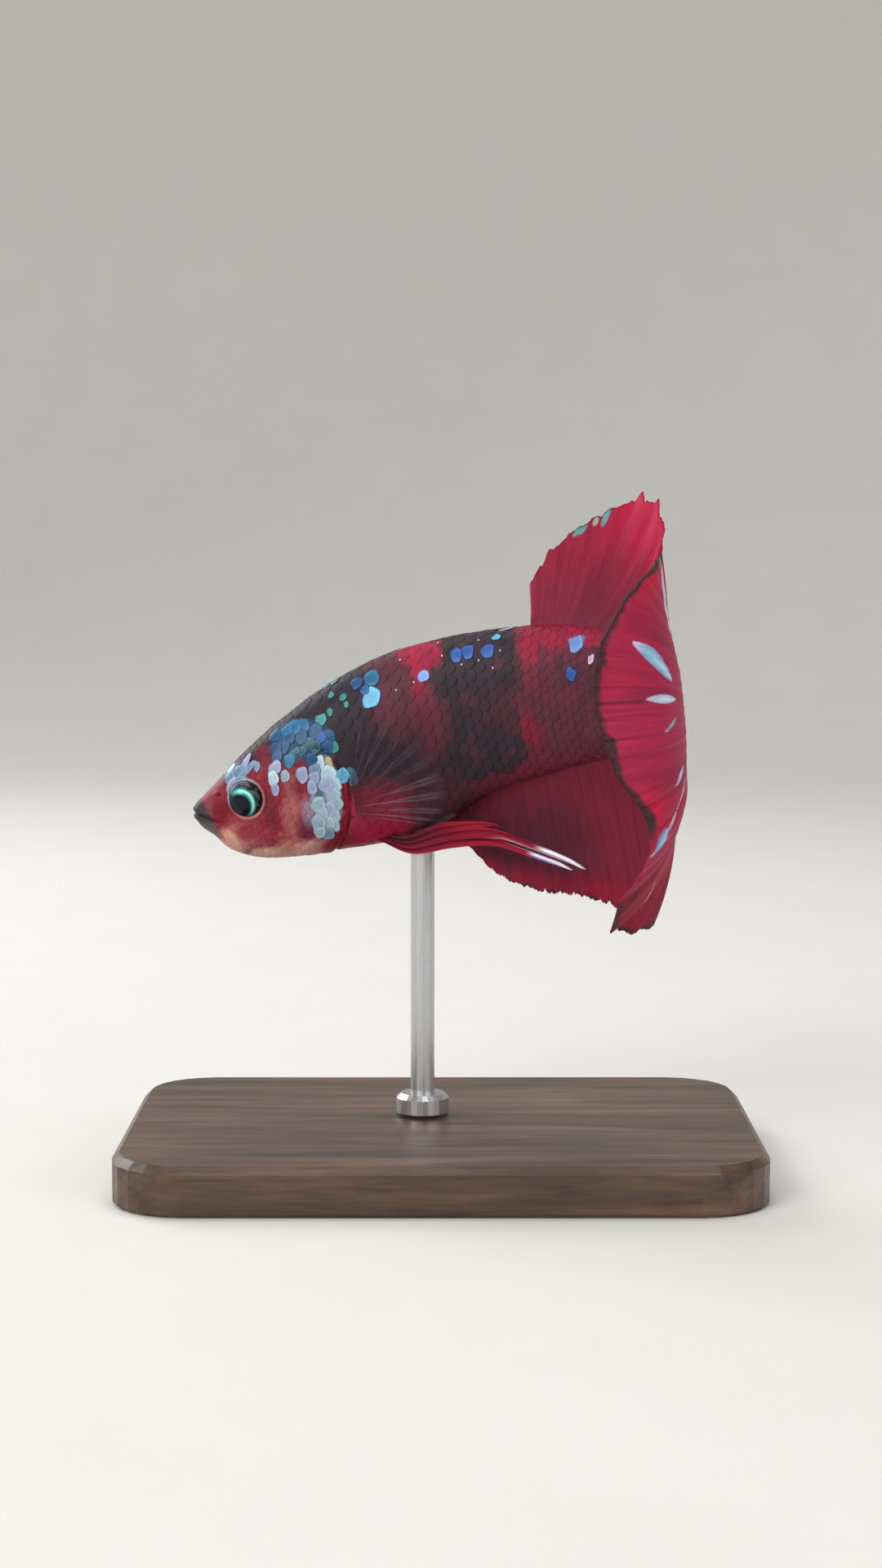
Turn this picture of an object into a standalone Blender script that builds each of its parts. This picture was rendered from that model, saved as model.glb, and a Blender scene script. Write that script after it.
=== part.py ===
"""A male short-finned betta (Siamese fighting fish), life size, held in a turn on a display stand.

The fish is first laid out straight, in fish coordinates: s runs from the snout to the tail, u to
the fish's left and h up. Each part is modelled and cut there, then bent along the spine, which
pitches the head down and swings the tail round to the left. Lengths are in millimetres until a
part is placed, and the origin is the middle of the stand's underside.
"""

import math

import bmesh
import bpy
import numpy as np

MM = 0.001
GAP = 0.3

# The spine: its length, where the snout is, and how it turns.
LENGTH = 45.0
SNOUT = (-20.2, 0.0, 30.2)
HEAD_YAW = -8.0
TAIL_YAW = 80.0
YAW_POWER = 2.4
HEAD_PITCH = 16.0
TAIL_PITCH = 4.0
SPINE_REACH = 26.0

# Sections of the body along s: the back, the belly and the half width.
BODY = (
    (-0.36, -0.7, -0.7, 0.0),
    (-0.26, -0.1, -1.35, 0.7),
    (0.0, 0.32, -2.05, 1.15),
    (0.7, 0.72, -3.15, 1.6),
    (2.0, 1.42, -4.6, 2.15),
    (4.1, 2.72, -5.8, 2.8),
    (7.0, 4.25, -6.55, 3.4),
    (10.0, 5.55, -6.95, 3.75),
    (13.2, 6.7, -7.35, 3.95),
    (16.8, 7.65, -7.5, 4.0),
    (20.2, 8.1, -6.9, 3.9),
    (25.0, 8.2, -5.3, 3.55),
    (30.0, 8.05, -4.5, 3.1),
    (34.0, 7.75, -3.8, 2.6),
    (37.5, 6.8, -3.5, 2.2),
    (41.0, 5.1, -3.6, 1.75),
    (45.5, 4.1, -4.0, 1.0),
)
BODY_SIDES = 28
HEAD_ROUNDNESS = 2.35
BODY_ROUNDNESS = 2.1
WIDEST_AT = 0.5

# Where the body divides. The gill opening bows backwards on the sides.
NECK = 11.6
NECK_BOW = 0.9
STALK_START = 37.0
STALK_END = 44.7

# The head's own parts.
EYE_AT = (4.0, 1.95, -0.45)
EYE_RADIUS = 1.6
EYE_DEPTH = 1.2
MOUTH_TIP = (-0.35, -0.45)
MOUTH_CORNER = (1.4, -1.87)
THROAT = (3.3, -6.5)
GILL_AT = (9.1, -2.3)
GILL_HALF = (2.75, 4.1)
GILL_SLANT = 0.2
GILL_INSIDE = 2.2
GILL_SWELL = 1.18

# Fins: half the membrane's thickness, and how much the rays add to it.
FIN_HALF = 0.25
RAY_HALF = 0.12
ROOT_SINK = 0.9

DORSAL_BASE = (29.9, 37.6)
DORSAL_MARGIN = (
    (30.4, 11.3),
    (32.3, 13.8),
    (35.0, 15.6),
    (38.2, 16.9),
    (42.0, 17.6),
    (45.4, 16.8),
    (46.9, 14.9),
    (45.8, 13.0),
)
DORSAL_RAYS = 14

ANAL_BASE = (20.9, 40.0)
ANAL_MARGIN = (
    (21.3, -9.2),
    (23.6, -12.2),
    (27.2, -14.0),
    (31.5, -14.8),
    (35.0, -15.7),
    (38.3, -16.3),
    (40.4, -15.0),
)
ANAL_RAYS = 18

# The tail fin's rays: each leaves the stalk at an angle in the fin's plane, then curls to the left.
# Rows hold that angle, the ray's length, and its lean to the left at its root and at its tip.
TAIL_RAYS = (
    (62.5, 11.2, -2.0, 10.5),
    (50.0, 12.5, -4.0, 28.0),
    (37.0, 14.5, -10.0, 57.0),
    (26.0, 15.6, -15.0, 78.0),
    (16.5, 15.8, -17.0, 88.0),
    (7.5, 15.9, -18.0, 92.0),
    (-11.0, 15.7, -15.0, 76.5),
    (-23.0, 15.4, -11.0, 54.0),
    (-30.0, 15.5, -10.0, 48.5),
    (-36.5, 15.8, -9.0, 51.0),
    (-49.0, 16.5, -8.0, 61.5),
    (-62.5, 16.7, -7.0, 62.0),
    (-67.5, 15.4, -5.0, 47.5),
    (-71.5, 11.7, -4.0, 33.0),
    (-79.0, 9.3, -3.0, 23.5),
)
TAIL_RAY_COUNT = 24
TAIL_ROOT_MIDDLE = 0.1
TAIL_ROOT_HALF = 3.5

# The chest fins: the root on the flank and the margin, both as (s, u, h).
CHEST_FIN_ROOT = ((13.0, 4.2, -1.9), (12.8, 3.95, -4.3))
CHEST_FIN_MARGIN = (
    (14.9, 5.7, 3.2),
    (17.2, 6.4, 3.3),
    (19.6, 6.9, 1.7),
    (21.2, 7.0, -0.9),
    (21.5, 6.8, -3.6),
    (20.4, 6.3, -5.8),
    (18.2, 5.6, -6.2),
)
CHEST_FIN_RAYS = 10

# The belly fins: a long blade along a path of (s, u, h). Each ray holds its place across the blade
# and how far along the path it reaches.
BELLY_FIN_PATH = (
    (13.7, 1.3, -6.6),
    (16.3, 1.9, -8.15),
    (20.0, 2.5, -8.2),
    (24.5, 3.2, -8.65),
    (29.0, 3.8, -10.1),
    (36.2, 4.4, -12.1),
)
BELLY_FIN_RAYS = (
    (-1.1, 0.88),
    (-0.6, 0.94),
    (-0.1, 0.76),
    (0.5, 1.0),
    (1.0, 0.8),
    (1.4, 0.56),
    (1.9, 0.66),
    (2.5, 0.4),
)
BELLY_FIN_WIDTH = (0.25, 0.62)
BELLY_FIN_STEPS = 22

# The display stand.
BASE_SIZE = (52.0, 36.0, 4.0)
BASE_CORNER = 6.0
BASE_CHAMFER = 0.6
ROD_RADIUS = 1.0
ROD_S = 17.6
COLLAR_RADIUS = 2.2
COLLAR_HEIGHT = 1.6
COLLAR_CHAMFER = 0.4
TURNED_SIDES = 28


def clear_scene():
    for thing in list(bpy.data.objects):
        bpy.data.objects.remove(thing, do_unlink=True)


# ---------------------------------------------------------------- curves and the spine


def smooth_step(edge0, edge1, x):
    t = np.clip((x - edge0) / (edge1 - edge0), 0.0, 1.0)
    return t * t * (3.0 - 2.0 * t)


def curve_through(points, t):
    """Catmull-Rom curve through evenly spaced points, read at t from 0 to 1."""
    p = np.asarray(points, float)
    p = np.vstack([2 * p[0] - p[1], p, 2 * p[-1] - p[-2]])
    x = np.clip(np.asarray(t, float), 0.0, 1.0) * (len(p) - 3)
    i = np.minimum(x.astype(int), len(p) - 4)
    f = (x - i)[..., None]
    a, b, c, d = p[i], p[i + 1], p[i + 2], p[i + 3]
    bent = 2 * a - 5 * b + 4 * c - d
    steep = 3 * (b - c) + d - a
    return 0.5 * (2 * b + (c - a) * f + bent * f**2 + steep * f**3)


def spine_frames():
    """Places and directions along the spine: forward to the tail, to the left, and up."""
    s = np.linspace(-SPINE_REACH, LENGTH + SPINE_REACH, 1601)
    turn = np.clip(s / LENGTH, 0.0, 1.0) ** YAW_POWER
    yaw = np.radians(HEAD_YAW + (TAIL_YAW - HEAD_YAW) * turn)
    level = smooth_step(0.2 * LENGTH, 0.95 * LENGTH, s)
    pitch = np.radians(HEAD_PITCH + (TAIL_PITCH - HEAD_PITCH) * level)
    along = np.stack([np.cos(yaw) * np.cos(pitch), -np.sin(yaw), np.cos(yaw) * np.sin(pitch)], 1)
    up = np.stack([-np.sin(pitch), 0 * pitch, np.cos(pitch)], 1)
    left = np.cross(along, up)
    steps = (along[1:] + along[:-1]) / 2 * (s[1] - s[0])
    place = np.vstack([np.zeros(3), np.cumsum(steps, 0)])
    place -= place[np.argmin(abs(s))]
    return s, place + np.array(SNOUT), left, up


FRAMES = spine_frames()


def bend(points):
    """Carries (s, u, h) points to where they are on the bent fish."""
    points = np.asarray(points, float)
    table, place, left, up = FRAMES
    read = [np.stack([np.interp(points[:, 0], table, part[:, k]) for k in range(3)], 1)
            for part in (place, left, up)]
    return read[0] + points[:, 1:2] * read[1] + points[:, 2:3] * read[2]


# ---------------------------------------------------------------- the body's surface


SECTIONS = curve_through(BODY, np.linspace(0.0, 1.0, 600))
BACK, BELLY, HALF_WIDTH = 1, 2, 3


def body_line(s, column):
    """The back, the belly or the half width at s."""
    return np.interp(s, SECTIONS[:, 0], SECTIONS[:, column])


def signed_power(x, power):
    return np.sign(x) * np.abs(x) ** power


def body_ring(s, grow=0.0):
    """One ring of the body. s may differ round the ring, and grow moves the ring outwards."""
    angle = np.linspace(0.0, 2 * math.pi, BODY_SIDES, endpoint=False)
    s = np.broadcast_to(s, angle.shape).astype(float)
    top, bottom, half = (body_line(s, k) for k in (BACK, BELLY, HALF_WIDTH))
    middle = bottom + WIDEST_AT * (top - bottom)
    round_by = HEAD_ROUNDNESS + (BODY_ROUNDNESS - HEAD_ROUNDNESS) * smooth_step(4.0, 16.0, s)
    tall = np.where(np.sin(angle) > 0, top - middle, middle - bottom) + grow
    u = (half + grow) * signed_power(np.cos(angle), 2 / round_by)
    h = middle + tall * signed_power(np.sin(angle), 2 / round_by)
    return np.stack([s, u, h], 1)


def neck_line(offset):
    """The gill opening round the body, bowed backwards on the sides."""
    angle = np.linspace(0.0, 2 * math.pi, BODY_SIDES, endpoint=False)
    return NECK + offset + NECK_BOW * np.cos(angle) ** 2


# ---------------------------------------------------------------- mesh building


def face_outwards(bm):
    """Turns a closed body's faces outwards, whatever their order."""
    bmesh.ops.recalc_face_normals(bm, faces=bm.faces)
    if bm.calc_volume(signed=True) < 0:
        bmesh.ops.reverse_faces(bm, faces=bm.faces)


def finish_mesh(name, points, faces):
    mesh = bpy.data.meshes.new(name)
    bm = bmesh.new()
    corners = [bm.verts.new(p) for p in points]
    for face in faces:
        bm.faces.new([corners[i] for i in face])
    face_outwards(bm)
    bm.to_mesh(mesh)
    bm.free()
    return mesh


def loft_mesh(name, rings, tip=None):
    """Closed skin over rings of points, with flat ends or a pointed start."""
    sides = len(rings[0])
    points = [p for ring in rings for p in ring]
    faces = []
    for i in range(len(rings) - 1):
        for j in range(sides):
            k = (j + 1) % sides
            faces.append((i * sides + j, i * sides + k, (i + 1) * sides + k, (i + 1) * sides + j))
    ends = [(0, tip), (len(rings) - 1, None)]
    for ring, point in ends:
        if point is None:
            point = np.mean(rings[ring], 0)
        points.append(point)
        hub = len(points) - 1
        faces += [(ring * sides + j, ring * sides + (j + 1) % sides, hub) for j in range(sides)]
    return finish_mesh(name, points, faces)


def plate_mesh(name, middle, half):
    """A closed plate round a grid of points, half as thick as asked on either side."""
    normal = np.cross(np.gradient(middle, axis=0), np.gradient(middle, axis=1))
    normal /= np.linalg.norm(normal, axis=2, keepdims=True)
    rows, columns = middle.shape[:2]
    points = np.vstack([(middle + side * normal * half[..., None]).reshape(-1, 3) for side in (1, -1)])
    count = rows * columns
    faces = []
    for i in range(rows - 1):
        for j in range(columns - 1):
            a = i * columns + j
            quad = (a, a + 1, a + columns + 1, a + columns)
            faces.append(quad)
            faces.append(tuple(count + k for k in reversed(quad)))
    rim = [(0, j) for j in range(columns)]
    rim += [(i, columns - 1) for i in range(1, rows)]
    rim += [(rows - 1, j) for j in range(columns - 2, -1, -1)]
    rim += [(i, 0) for i in range(rows - 2, 0, -1)]
    for (i, j), (m, n) in zip(rim, rim[1:] + rim[:1]):
        a = i * columns + j
        b = m * columns + n
        faces.append((a, b, count + b, count + a))
    return finish_mesh(name, points, faces)


def prism_mesh(name, outline, low, high):
    """An outline of (s, h) points carried from one u to another."""
    count = len(outline)
    points = [(s, u, h) for u in (low, high) for s, h in outline]
    faces = [tuple(range(count)), tuple(range(count, 2 * count))]
    faces += [(i, (i + 1) % count, count + (i + 1) % count, count + i) for i in range(count)]
    return finish_mesh(name, points, faces)


def ball_mesh(name, centre, radii, segments=20, rings=10):
    mesh = bpy.data.meshes.new(name)
    bm = bmesh.new()
    bmesh.ops.create_uvsphere(bm, u_segments=segments, v_segments=rings, radius=1.0)
    for vert in bm.verts:
        x, y, z = vert.co
        # The sphere's poles point sideways, like the axis of an eye.
        vert.co = (centre[0] + x * radii[0], centre[1] + z * radii[1], centre[2] + y * radii[2])
    face_outwards(bm)
    bm.to_mesh(mesh)
    bm.free()
    return mesh


def mirrored(mesh):
    """The same mesh on the fish's other side."""
    copy = mesh.copy()
    bm = bmesh.new()
    bm.from_mesh(copy)
    for vert in bm.verts:
        vert.co.y = -vert.co.y
    face_outwards(bm)
    bm.to_mesh(copy)
    bm.free()
    return copy


def cut(mesh, cutters, operation="DIFFERENCE", solver="EXACT"):
    """The mesh after a Boolean with each cutter in turn."""
    blank = bpy.data.objects.new("blank", mesh)
    bpy.context.scene.collection.objects.link(blank)
    helpers = []
    for cutter_mesh in cutters:
        cutter = bpy.data.objects.new("cutter", cutter_mesh)
        cutter.display_type = "WIRE"
        cutter.hide_render = True
        bpy.context.scene.collection.objects.link(cutter)
        modifier = blank.modifiers.new("cut", "BOOLEAN")
        modifier.operation = operation
        modifier.object = cutter
        modifier.solver = solver
        helpers.append(cutter)
    bpy.context.view_layer.update()
    graph = bpy.context.evaluated_depsgraph_get()
    result = bpy.data.meshes.new_from_object(blank.evaluated_get(graph))
    for helper in helpers + [blank]:
        bpy.data.objects.remove(helper, do_unlink=True)
    return result


def material(name, colour, roughness, metallic=0.0):
    made = bpy.data.materials.new(name)
    made.use_nodes = True
    shader = made.node_tree.nodes["Principled BSDF"]
    shader.inputs["Base Color"].default_value = (*colour, 1.0)
    shader.inputs["Roughness"].default_value = roughness
    shader.inputs["Metallic"].default_value = metallic
    made.diffuse_color = (*colour, 1.0)
    return made


def place(name, mesh, finish, parent, bent=True, sharp=40.0):
    """Bends a mesh along the spine, brings it to metres and adds it to the scene."""
    bm = bmesh.new()
    bm.from_mesh(mesh)
    bmesh.ops.triangulate(bm, faces=bm.faces)
    points = np.array([vert.co for vert in bm.verts])
    if bent:
        points = bend(points)
    for vert, point in zip(bm.verts, points):
        vert.co = point * MM
    face_outwards(bm)
    made = bpy.data.meshes.new(name)
    bm.to_mesh(made)
    bm.free()
    made.shade_smooth()
    made.set_sharp_from_angle(angle=math.radians(sharp))
    made.materials.append(finish)
    thing = bpy.data.objects.new(name, made)
    thing.parent = parent
    bpy.context.scene.collection.objects.link(thing)
    return thing


# ---------------------------------------------------------------- head


def head_blank():
    nose = [body_ring(s) for s in (-0.3, -0.15, 0.15, 0.7, 1.5, 2.5, 3.6, 4.8, 6.2, 7.8, 9.4)]
    back = [body_ring(neck_line(0.0) + step) for step in (-1.0, 0.0)]
    tip = (SECTIONS[0, 0], 0.0, SECTIONS[0, 1])
    return loft_mesh("head_blank", nose + back, tip)


def jaw_wedge(grow):
    """The space under the line of the mouth and in front of the throat."""
    run = np.subtract(MOUTH_TIP, MOUTH_CORNER)
    lip = np.array(MOUTH_CORNER) + 1.5 * run
    outline = (
        (lip[0], lip[1] + grow),
        (MOUTH_CORNER[0] + grow, MOUTH_CORNER[1] + grow),
        (THROAT[0] + grow, THROAT[1] - grow),
        (lip[0], THROAT[1] - grow),
    )
    return prism_mesh("jaw_wedge", outline, -4.0, 4.0)


def gill_outline(grow):
    """A rounded D: the gill cover seen from the side."""
    count = 28
    outline = []
    for i in range(count):
        angle = 2 * math.pi * i / count
        across = (GILL_HALF[0] + grow) * signed_power(math.cos(angle), 0.85)
        up = (GILL_HALF[1] + grow) * signed_power(math.sin(angle), 0.9)
        outline.append((GILL_AT[0] + across + GILL_SLANT * up, GILL_AT[1] + up))
    return outline


def gill_block(grow, side):
    inner = GILL_INSIDE - grow
    return prism_mesh("gill_block", gill_outline(grow), side * inner, side * 8.0)


def swollen_gill(mesh, side):
    """Lifts the cover a little proud of the head, as the real one stands."""
    for vert in mesh.vertices:
        over = abs(vert.co.y) - GILL_INSIDE
        vert.co.y = side * (GILL_INSIDE + over * GILL_SWELL)
    return mesh


def eye_ball(grow, side):
    centre = (EYE_AT[0], side * EYE_AT[1], EYE_AT[2])
    radii = (EYE_RADIUS + grow, EYE_DEPTH + grow, EYE_RADIUS + grow)
    return ball_mesh("eye_ball", centre, radii)


def make_head(looks, parent):
    cutters = [jaw_wedge(GAP)]
    for side in (1, -1):
        cutters += [gill_block(GAP, side), eye_ball(GAP, side)]
    place("head", cut(head_blank(), cutters), looks["skin"], parent)
    place("lower_jaw", cut(head_blank(), [jaw_wedge(0.0)], "INTERSECT"), looks["skin"], parent)
    for side, word in ((1, "left"), (-1, "right")):
        cover = cut(head_blank(), [gill_block(0.0, side)], "INTERSECT")
        place("gill_cover_" + word, swollen_gill(cover, side), looks["gill"], parent)
        place("eye_" + word, eye_ball(0.0, side), looks["eye"], parent, sharp=60.0)


# ---------------------------------------------------------------- trunk and tail stalk


def make_trunk(looks, parent):
    front = [body_ring(neck_line(GAP) + step) for step in (0.0, 1.2)]
    rear = [body_ring(s) for s in np.linspace(15.6, STALK_START - GAP, 15)]
    place("trunk", loft_mesh("trunk", front + rear), looks["skin"], parent)
    stalk = [body_ring(s) for s in np.linspace(STALK_START, STALK_END, 6)]
    place("tail_stalk", loft_mesh("tail_stalk", stalk), looks["skin"], parent)


def grown_body():
    """The whole body, one gap larger all round, which cuts what grows from it."""
    rings = [body_ring(s, GAP) for s in np.linspace(0.5, STALK_END + GAP, 40)]
    return loft_mesh("grown_body", rings)


# ---------------------------------------------------------------- fins


def ray_columns(count):
    """Places across a fin, two to a ray, with 1 on the rays and 0 between them."""
    t = np.linspace(0.0, 1.0, 2 * count - 1)
    return t, (np.arange(len(t)) % 2 == 0).astype(float)


def fin_thickness(rows, on_ray):
    fade = 1.0 - 0.7 * np.linspace(0.0, 1.0, rows)[:, None]
    return FIN_HALF + RAY_HALF * fade * on_ray[None, :]


def fan(root, margin, on_ray, rows, notch):
    """A grid from root to margin points, its edge notched between the rays."""
    reach = 1.0 - notch * (1.0 - on_ray)
    v = np.linspace(0.0, 1.0, rows)[:, None, None]
    return root[None] + v * reach[None, :, None] * (margin - root)[None]


def unpaired_fin(name, base, margin_points, rays, column, notch):
    """A fin on the fish's midline, its root sunk in the body's back or belly."""
    rows = 5
    t, on_ray = ray_columns(rays)
    s = base[0] + (base[1] - base[0]) * t
    sink = -ROOT_SINK if column == BACK else ROOT_SINK
    root = np.stack([s, 0 * s, body_line(s, column) + sink], 1)
    edge = curve_through(margin_points, t)
    margin = np.stack([edge[:, 0], 0 * t, edge[:, 1]], 1)
    grid = fan(root, margin, on_ray, rows, notch)
    return plate_mesh(name, grid, fin_thickness(rows, on_ray))


def tail_fin():
    """The tail fin, each of its rays curling to the left as it runs out."""
    design = np.array(TAIL_RAYS)[::-1]
    t, on_ray = ray_columns(TAIL_RAY_COUNT)
    angle = design[0, 0] + (design[-1, 0] - design[0, 0]) * t
    length, lean_root, lean_tip = (np.interp(angle, design[:, 0], design[:, k]) for k in (1, 2, 3))
    length = length * (1.0 - 0.05 * (1.0 - on_ray))
    rows = 10
    v = np.linspace(0.0, 1.0, rows)[:, None]
    lean = np.radians(lean_root + (lean_tip - lean_root) * v)
    step = length / (rows - 1)
    out = np.vstack([0 * length, np.cumsum((np.cos(lean[1:]) + np.cos(lean[:-1])) / 2, 0) * step])
    over = np.vstack([0 * length, np.cumsum((np.sin(lean[1:]) + np.sin(lean[:-1])) / 2, 0) * step])
    phi = np.radians(angle)
    root = TAIL_ROOT_MIDDLE + TAIL_ROOT_HALF * np.sin(phi)
    grid = np.stack([LENGTH + out * np.cos(phi), over, root + out * np.sin(phi)], 2)
    return plate_mesh("tail_fin", grid, fin_thickness(rows, on_ray))


def chest_fin():
    t, on_ray = ray_columns(CHEST_FIN_RAYS)
    root = curve_through(CHEST_FIN_ROOT, t)
    margin = curve_through(CHEST_FIN_MARGIN, t)
    rows = 4
    grid = fan(root, margin, on_ray, rows, 0.03)
    return plate_mesh("chest_fin", grid, fin_thickness(rows, 0.5 * on_ray))


def belly_fin():
    """A narrow blade whose longest rays end in two prongs. It is drawn flat, then laid along its path."""
    tips = [(reach, across) for across, reach in BELLY_FIN_RAYS]
    outline = [(0.0, tips[0][1])] + tips + [(0.0, tips[-1][1])]
    blade = prism_mesh("belly_fin", outline, -FIN_HALF, FIN_HALF)
    bm = bmesh.new()
    bm.from_mesh(blade)
    for step in range(1, BELLY_FIN_STEPS):
        everything = bm.verts[:] + bm.edges[:] + bm.faces[:]
        place_at = (step / BELLY_FIN_STEPS, 0.0, 0.0)
        bmesh.ops.bisect_plane(bm, geom=everything, dist=1e-6, plane_co=place_at, plane_no=(1, 0, 0))
    for vert in bm.verts:
        reach, side, across = vert.co
        widening = (BELLY_FIN_WIDTH[1] - BELLY_FIN_WIDTH[0]) * smooth_step(0.0, 0.4, reach)
        s, u, h = curve_through(BELLY_FIN_PATH, reach)
        vert.co = (s, u + side, h + across * (BELLY_FIN_WIDTH[0] + widening))
    face_outwards(bm)
    bm.to_mesh(blade)
    bm.free()
    return blade


def make_fins(looks, parent):
    body = grown_body()
    dorsal = unpaired_fin("dorsal", DORSAL_BASE, DORSAL_MARGIN, DORSAL_RAYS, BACK, 0.07)
    place("dorsal_fin", cut(dorsal, [body]), looks["fin"], parent)
    anal = unpaired_fin("anal", ANAL_BASE, ANAL_MARGIN, ANAL_RAYS, BELLY, 0.06)
    place("anal_fin", cut(anal, [body]), looks["fin"], parent)
    place("caudal_fin", tail_fin(), looks["fin"], parent)
    # Both are closed, and EXACT returns nothing where a thin plate only grazes the body.
    chest = cut(chest_fin(), [body], solver="MANIFOLD")
    belly = cut(belly_fin(), [body], solver="MANIFOLD")
    for word, chest_side, belly_side in (("left", chest, belly), ("right", mirrored(chest), mirrored(belly))):
        place("pectoral_fin_" + word, chest_side, looks["clear_fin"], parent)
        place("pelvic_fin_" + word, belly_side, looks["fin"], parent)


# ---------------------------------------------------------------- stand


def disc_column(name, centre, levels):
    """A turned piece: (radius, height) levels round an upright axis."""
    angle = np.linspace(0.0, 2 * math.pi, TURNED_SIDES, endpoint=False)
    rings = []
    for radius, z in levels:
        x = centre[0] + radius * np.cos(angle)
        y = centre[1] + radius * np.sin(angle)
        rings.append(np.stack([x, y, np.full(TURNED_SIDES, z)], 1))
    return loft_mesh(name, rings)


def base_outline(inset):
    """A rectangle with round corners."""
    half_x = BASE_SIZE[0] / 2 - inset
    half_y = BASE_SIZE[1] / 2 - inset
    corner = BASE_CORNER - inset
    outline = []
    for quarter, (sx, sy) in enumerate(((1, 1), (-1, 1), (-1, -1), (1, -1))):
        for k in range(7):
            angle = math.pi / 2 * (quarter + k / 6)
            outline.append((sx * (half_x - corner) + corner * math.cos(angle),
                            sy * (half_y - corner) + corner * math.sin(angle)))
    return outline


def base_mesh():
    levels = ((BASE_CHAMFER / 2, 0.0), (0.0, BASE_CHAMFER / 2),
              (0.0, BASE_SIZE[2] - BASE_CHAMFER), (BASE_CHAMFER, BASE_SIZE[2]))
    rings = [np.array([(x, y, z) for x, y in base_outline(inset)]) for inset, z in levels]
    return loft_mesh("base", rings)


def make_stand(looks, parent):
    place("stand_base", base_mesh(), looks["base"], parent, bent=False)
    belly = bend([(ROD_S, 0.0, body_line(ROD_S, BELLY))])[0]
    foot = BASE_SIZE[2] + GAP
    collar = foot + COLLAR_HEIGHT
    levels = ((COLLAR_RADIUS, foot), (COLLAR_RADIUS, collar - COLLAR_CHAMFER),
              (COLLAR_RADIUS - COLLAR_CHAMFER, collar), (ROD_RADIUS, collar),
              (ROD_RADIUS, belly[2] + 2 * ROD_RADIUS))
    rod = disc_column("rod", belly[:2], levels)
    shape = grown_body()
    for vert, point in zip(shape.vertices, bend([v.co for v in shape.vertices])):
        vert.co = point
    shape.flip_normals()
    place("stand_rod", cut(rod, [shape]), looks["rod"], parent, bent=False)


def main():
    clear_scene()
    fish = bpy.data.objects.new("model", None)
    bpy.context.scene.collection.objects.link(fish)
    looks = {
        "skin": material("skin", (0.14, 0.035, 0.05), 0.35),
        "gill": material("gill", (0.33, 0.42, 0.48), 0.3),
        "eye": material("eye", (0.02, 0.03, 0.04), 0.08),
        "fin": material("fin", (0.3, 0.02, 0.06), 0.45),
        "clear_fin": material("clear_fin", (0.2, 0.12, 0.14), 0.4),
        "base": material("base", (0.05, 0.03, 0.02), 0.4),
        "rod": material("rod", (0.6, 0.6, 0.6), 0.3, 1.0),
    }
    make_head(looks, fish)
    make_trunk(looks, fish)
    make_fins(looks, fish)
    make_stand(looks, fish)


main()
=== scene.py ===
"""Looks of the betta fish: one skin with mesh scales, rayed fins, detailed eyes and the display stand.

The fish is laid out straight in fish coordinates, as in the CAD: s from snout to tail, u to its
left, h up, in millimetres. Everything is shaped and painted there, then bent along the spine.
"""

import math

import bpy
import numpy as np
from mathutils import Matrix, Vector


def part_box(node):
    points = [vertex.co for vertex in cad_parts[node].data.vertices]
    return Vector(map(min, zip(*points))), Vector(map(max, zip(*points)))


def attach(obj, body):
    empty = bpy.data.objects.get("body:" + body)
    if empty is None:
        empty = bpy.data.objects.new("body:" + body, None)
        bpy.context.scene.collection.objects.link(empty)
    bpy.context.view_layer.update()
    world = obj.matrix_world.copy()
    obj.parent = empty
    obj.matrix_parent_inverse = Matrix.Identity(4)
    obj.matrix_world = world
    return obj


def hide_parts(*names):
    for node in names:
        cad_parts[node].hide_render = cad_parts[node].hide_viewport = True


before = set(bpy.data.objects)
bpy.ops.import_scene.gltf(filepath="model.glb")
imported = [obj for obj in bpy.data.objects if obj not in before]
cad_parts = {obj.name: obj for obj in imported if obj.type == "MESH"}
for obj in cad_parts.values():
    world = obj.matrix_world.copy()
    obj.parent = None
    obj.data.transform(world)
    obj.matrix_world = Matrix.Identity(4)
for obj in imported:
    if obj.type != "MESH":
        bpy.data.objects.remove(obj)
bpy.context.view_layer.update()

MM = 0.001

# ---------------------------------------------------------------- the fish's measures, as in the CAD

LENGTH = 45.0
SNOUT = (-20.2, 0.0, 30.2)
HEAD_YAW, TAIL_YAW, YAW_POWER = -8.0, 80.0, 2.4
HEAD_PITCH, TAIL_PITCH = 16.0, 4.0
SPINE_REACH = 26.0
# The outline: s, back, belly, half width.
BODY = (
    (-0.36, -0.7, -0.7, 0.0),
    (-0.26, -0.1, -1.35, 0.7),
    (0.0, 0.32, -2.05, 1.15),
    (0.7, 0.72, -3.15, 1.6),
    (2.0, 1.42, -4.6, 2.15),
    (4.1, 2.72, -5.8, 2.8),
    (7.0, 4.25, -6.55, 3.4),
    (10.0, 5.55, -6.95, 3.75),
    (13.2, 6.7, -7.35, 3.95),
    (16.8, 7.65, -7.5, 4.0),
    (20.2, 8.1, -6.9, 3.9),
    (25.0, 8.2, -5.3, 3.55),
    (30.0, 8.05, -4.5, 3.1),
    (34.0, 7.75, -3.8, 2.6),
    (37.5, 6.8, -3.5, 2.2),
    (41.0, 5.1, -3.6, 1.75),
    (45.5, 4.1, -4.0, 1.0),
)
BACK, BELLY = 1, 2
HEAD_ROUNDNESS, BODY_ROUNDNESS, WIDEST_AT = 2.35, 2.1, 0.5
EYE_AT = (4.0, 2.12, -0.45)
EYE_RADIUS = 1.53
EYE_NARROW = 0.9
EYE_DEPTH = 1.0
MOUTH_TIP = (-0.35, -0.45)
MOUTH_CORNER = (1.4, -1.87)
GILL_AT = (9.1, -2.3)
GILL_HALF = (2.75, 4.1)
GILL_SLANT = 0.2
GILL_SLIT, FLAP_DEPTH = 1.055, 0.17
NOSTRIL_AT = (1.95, 0.42)
HEAD_END = 12.9
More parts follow.
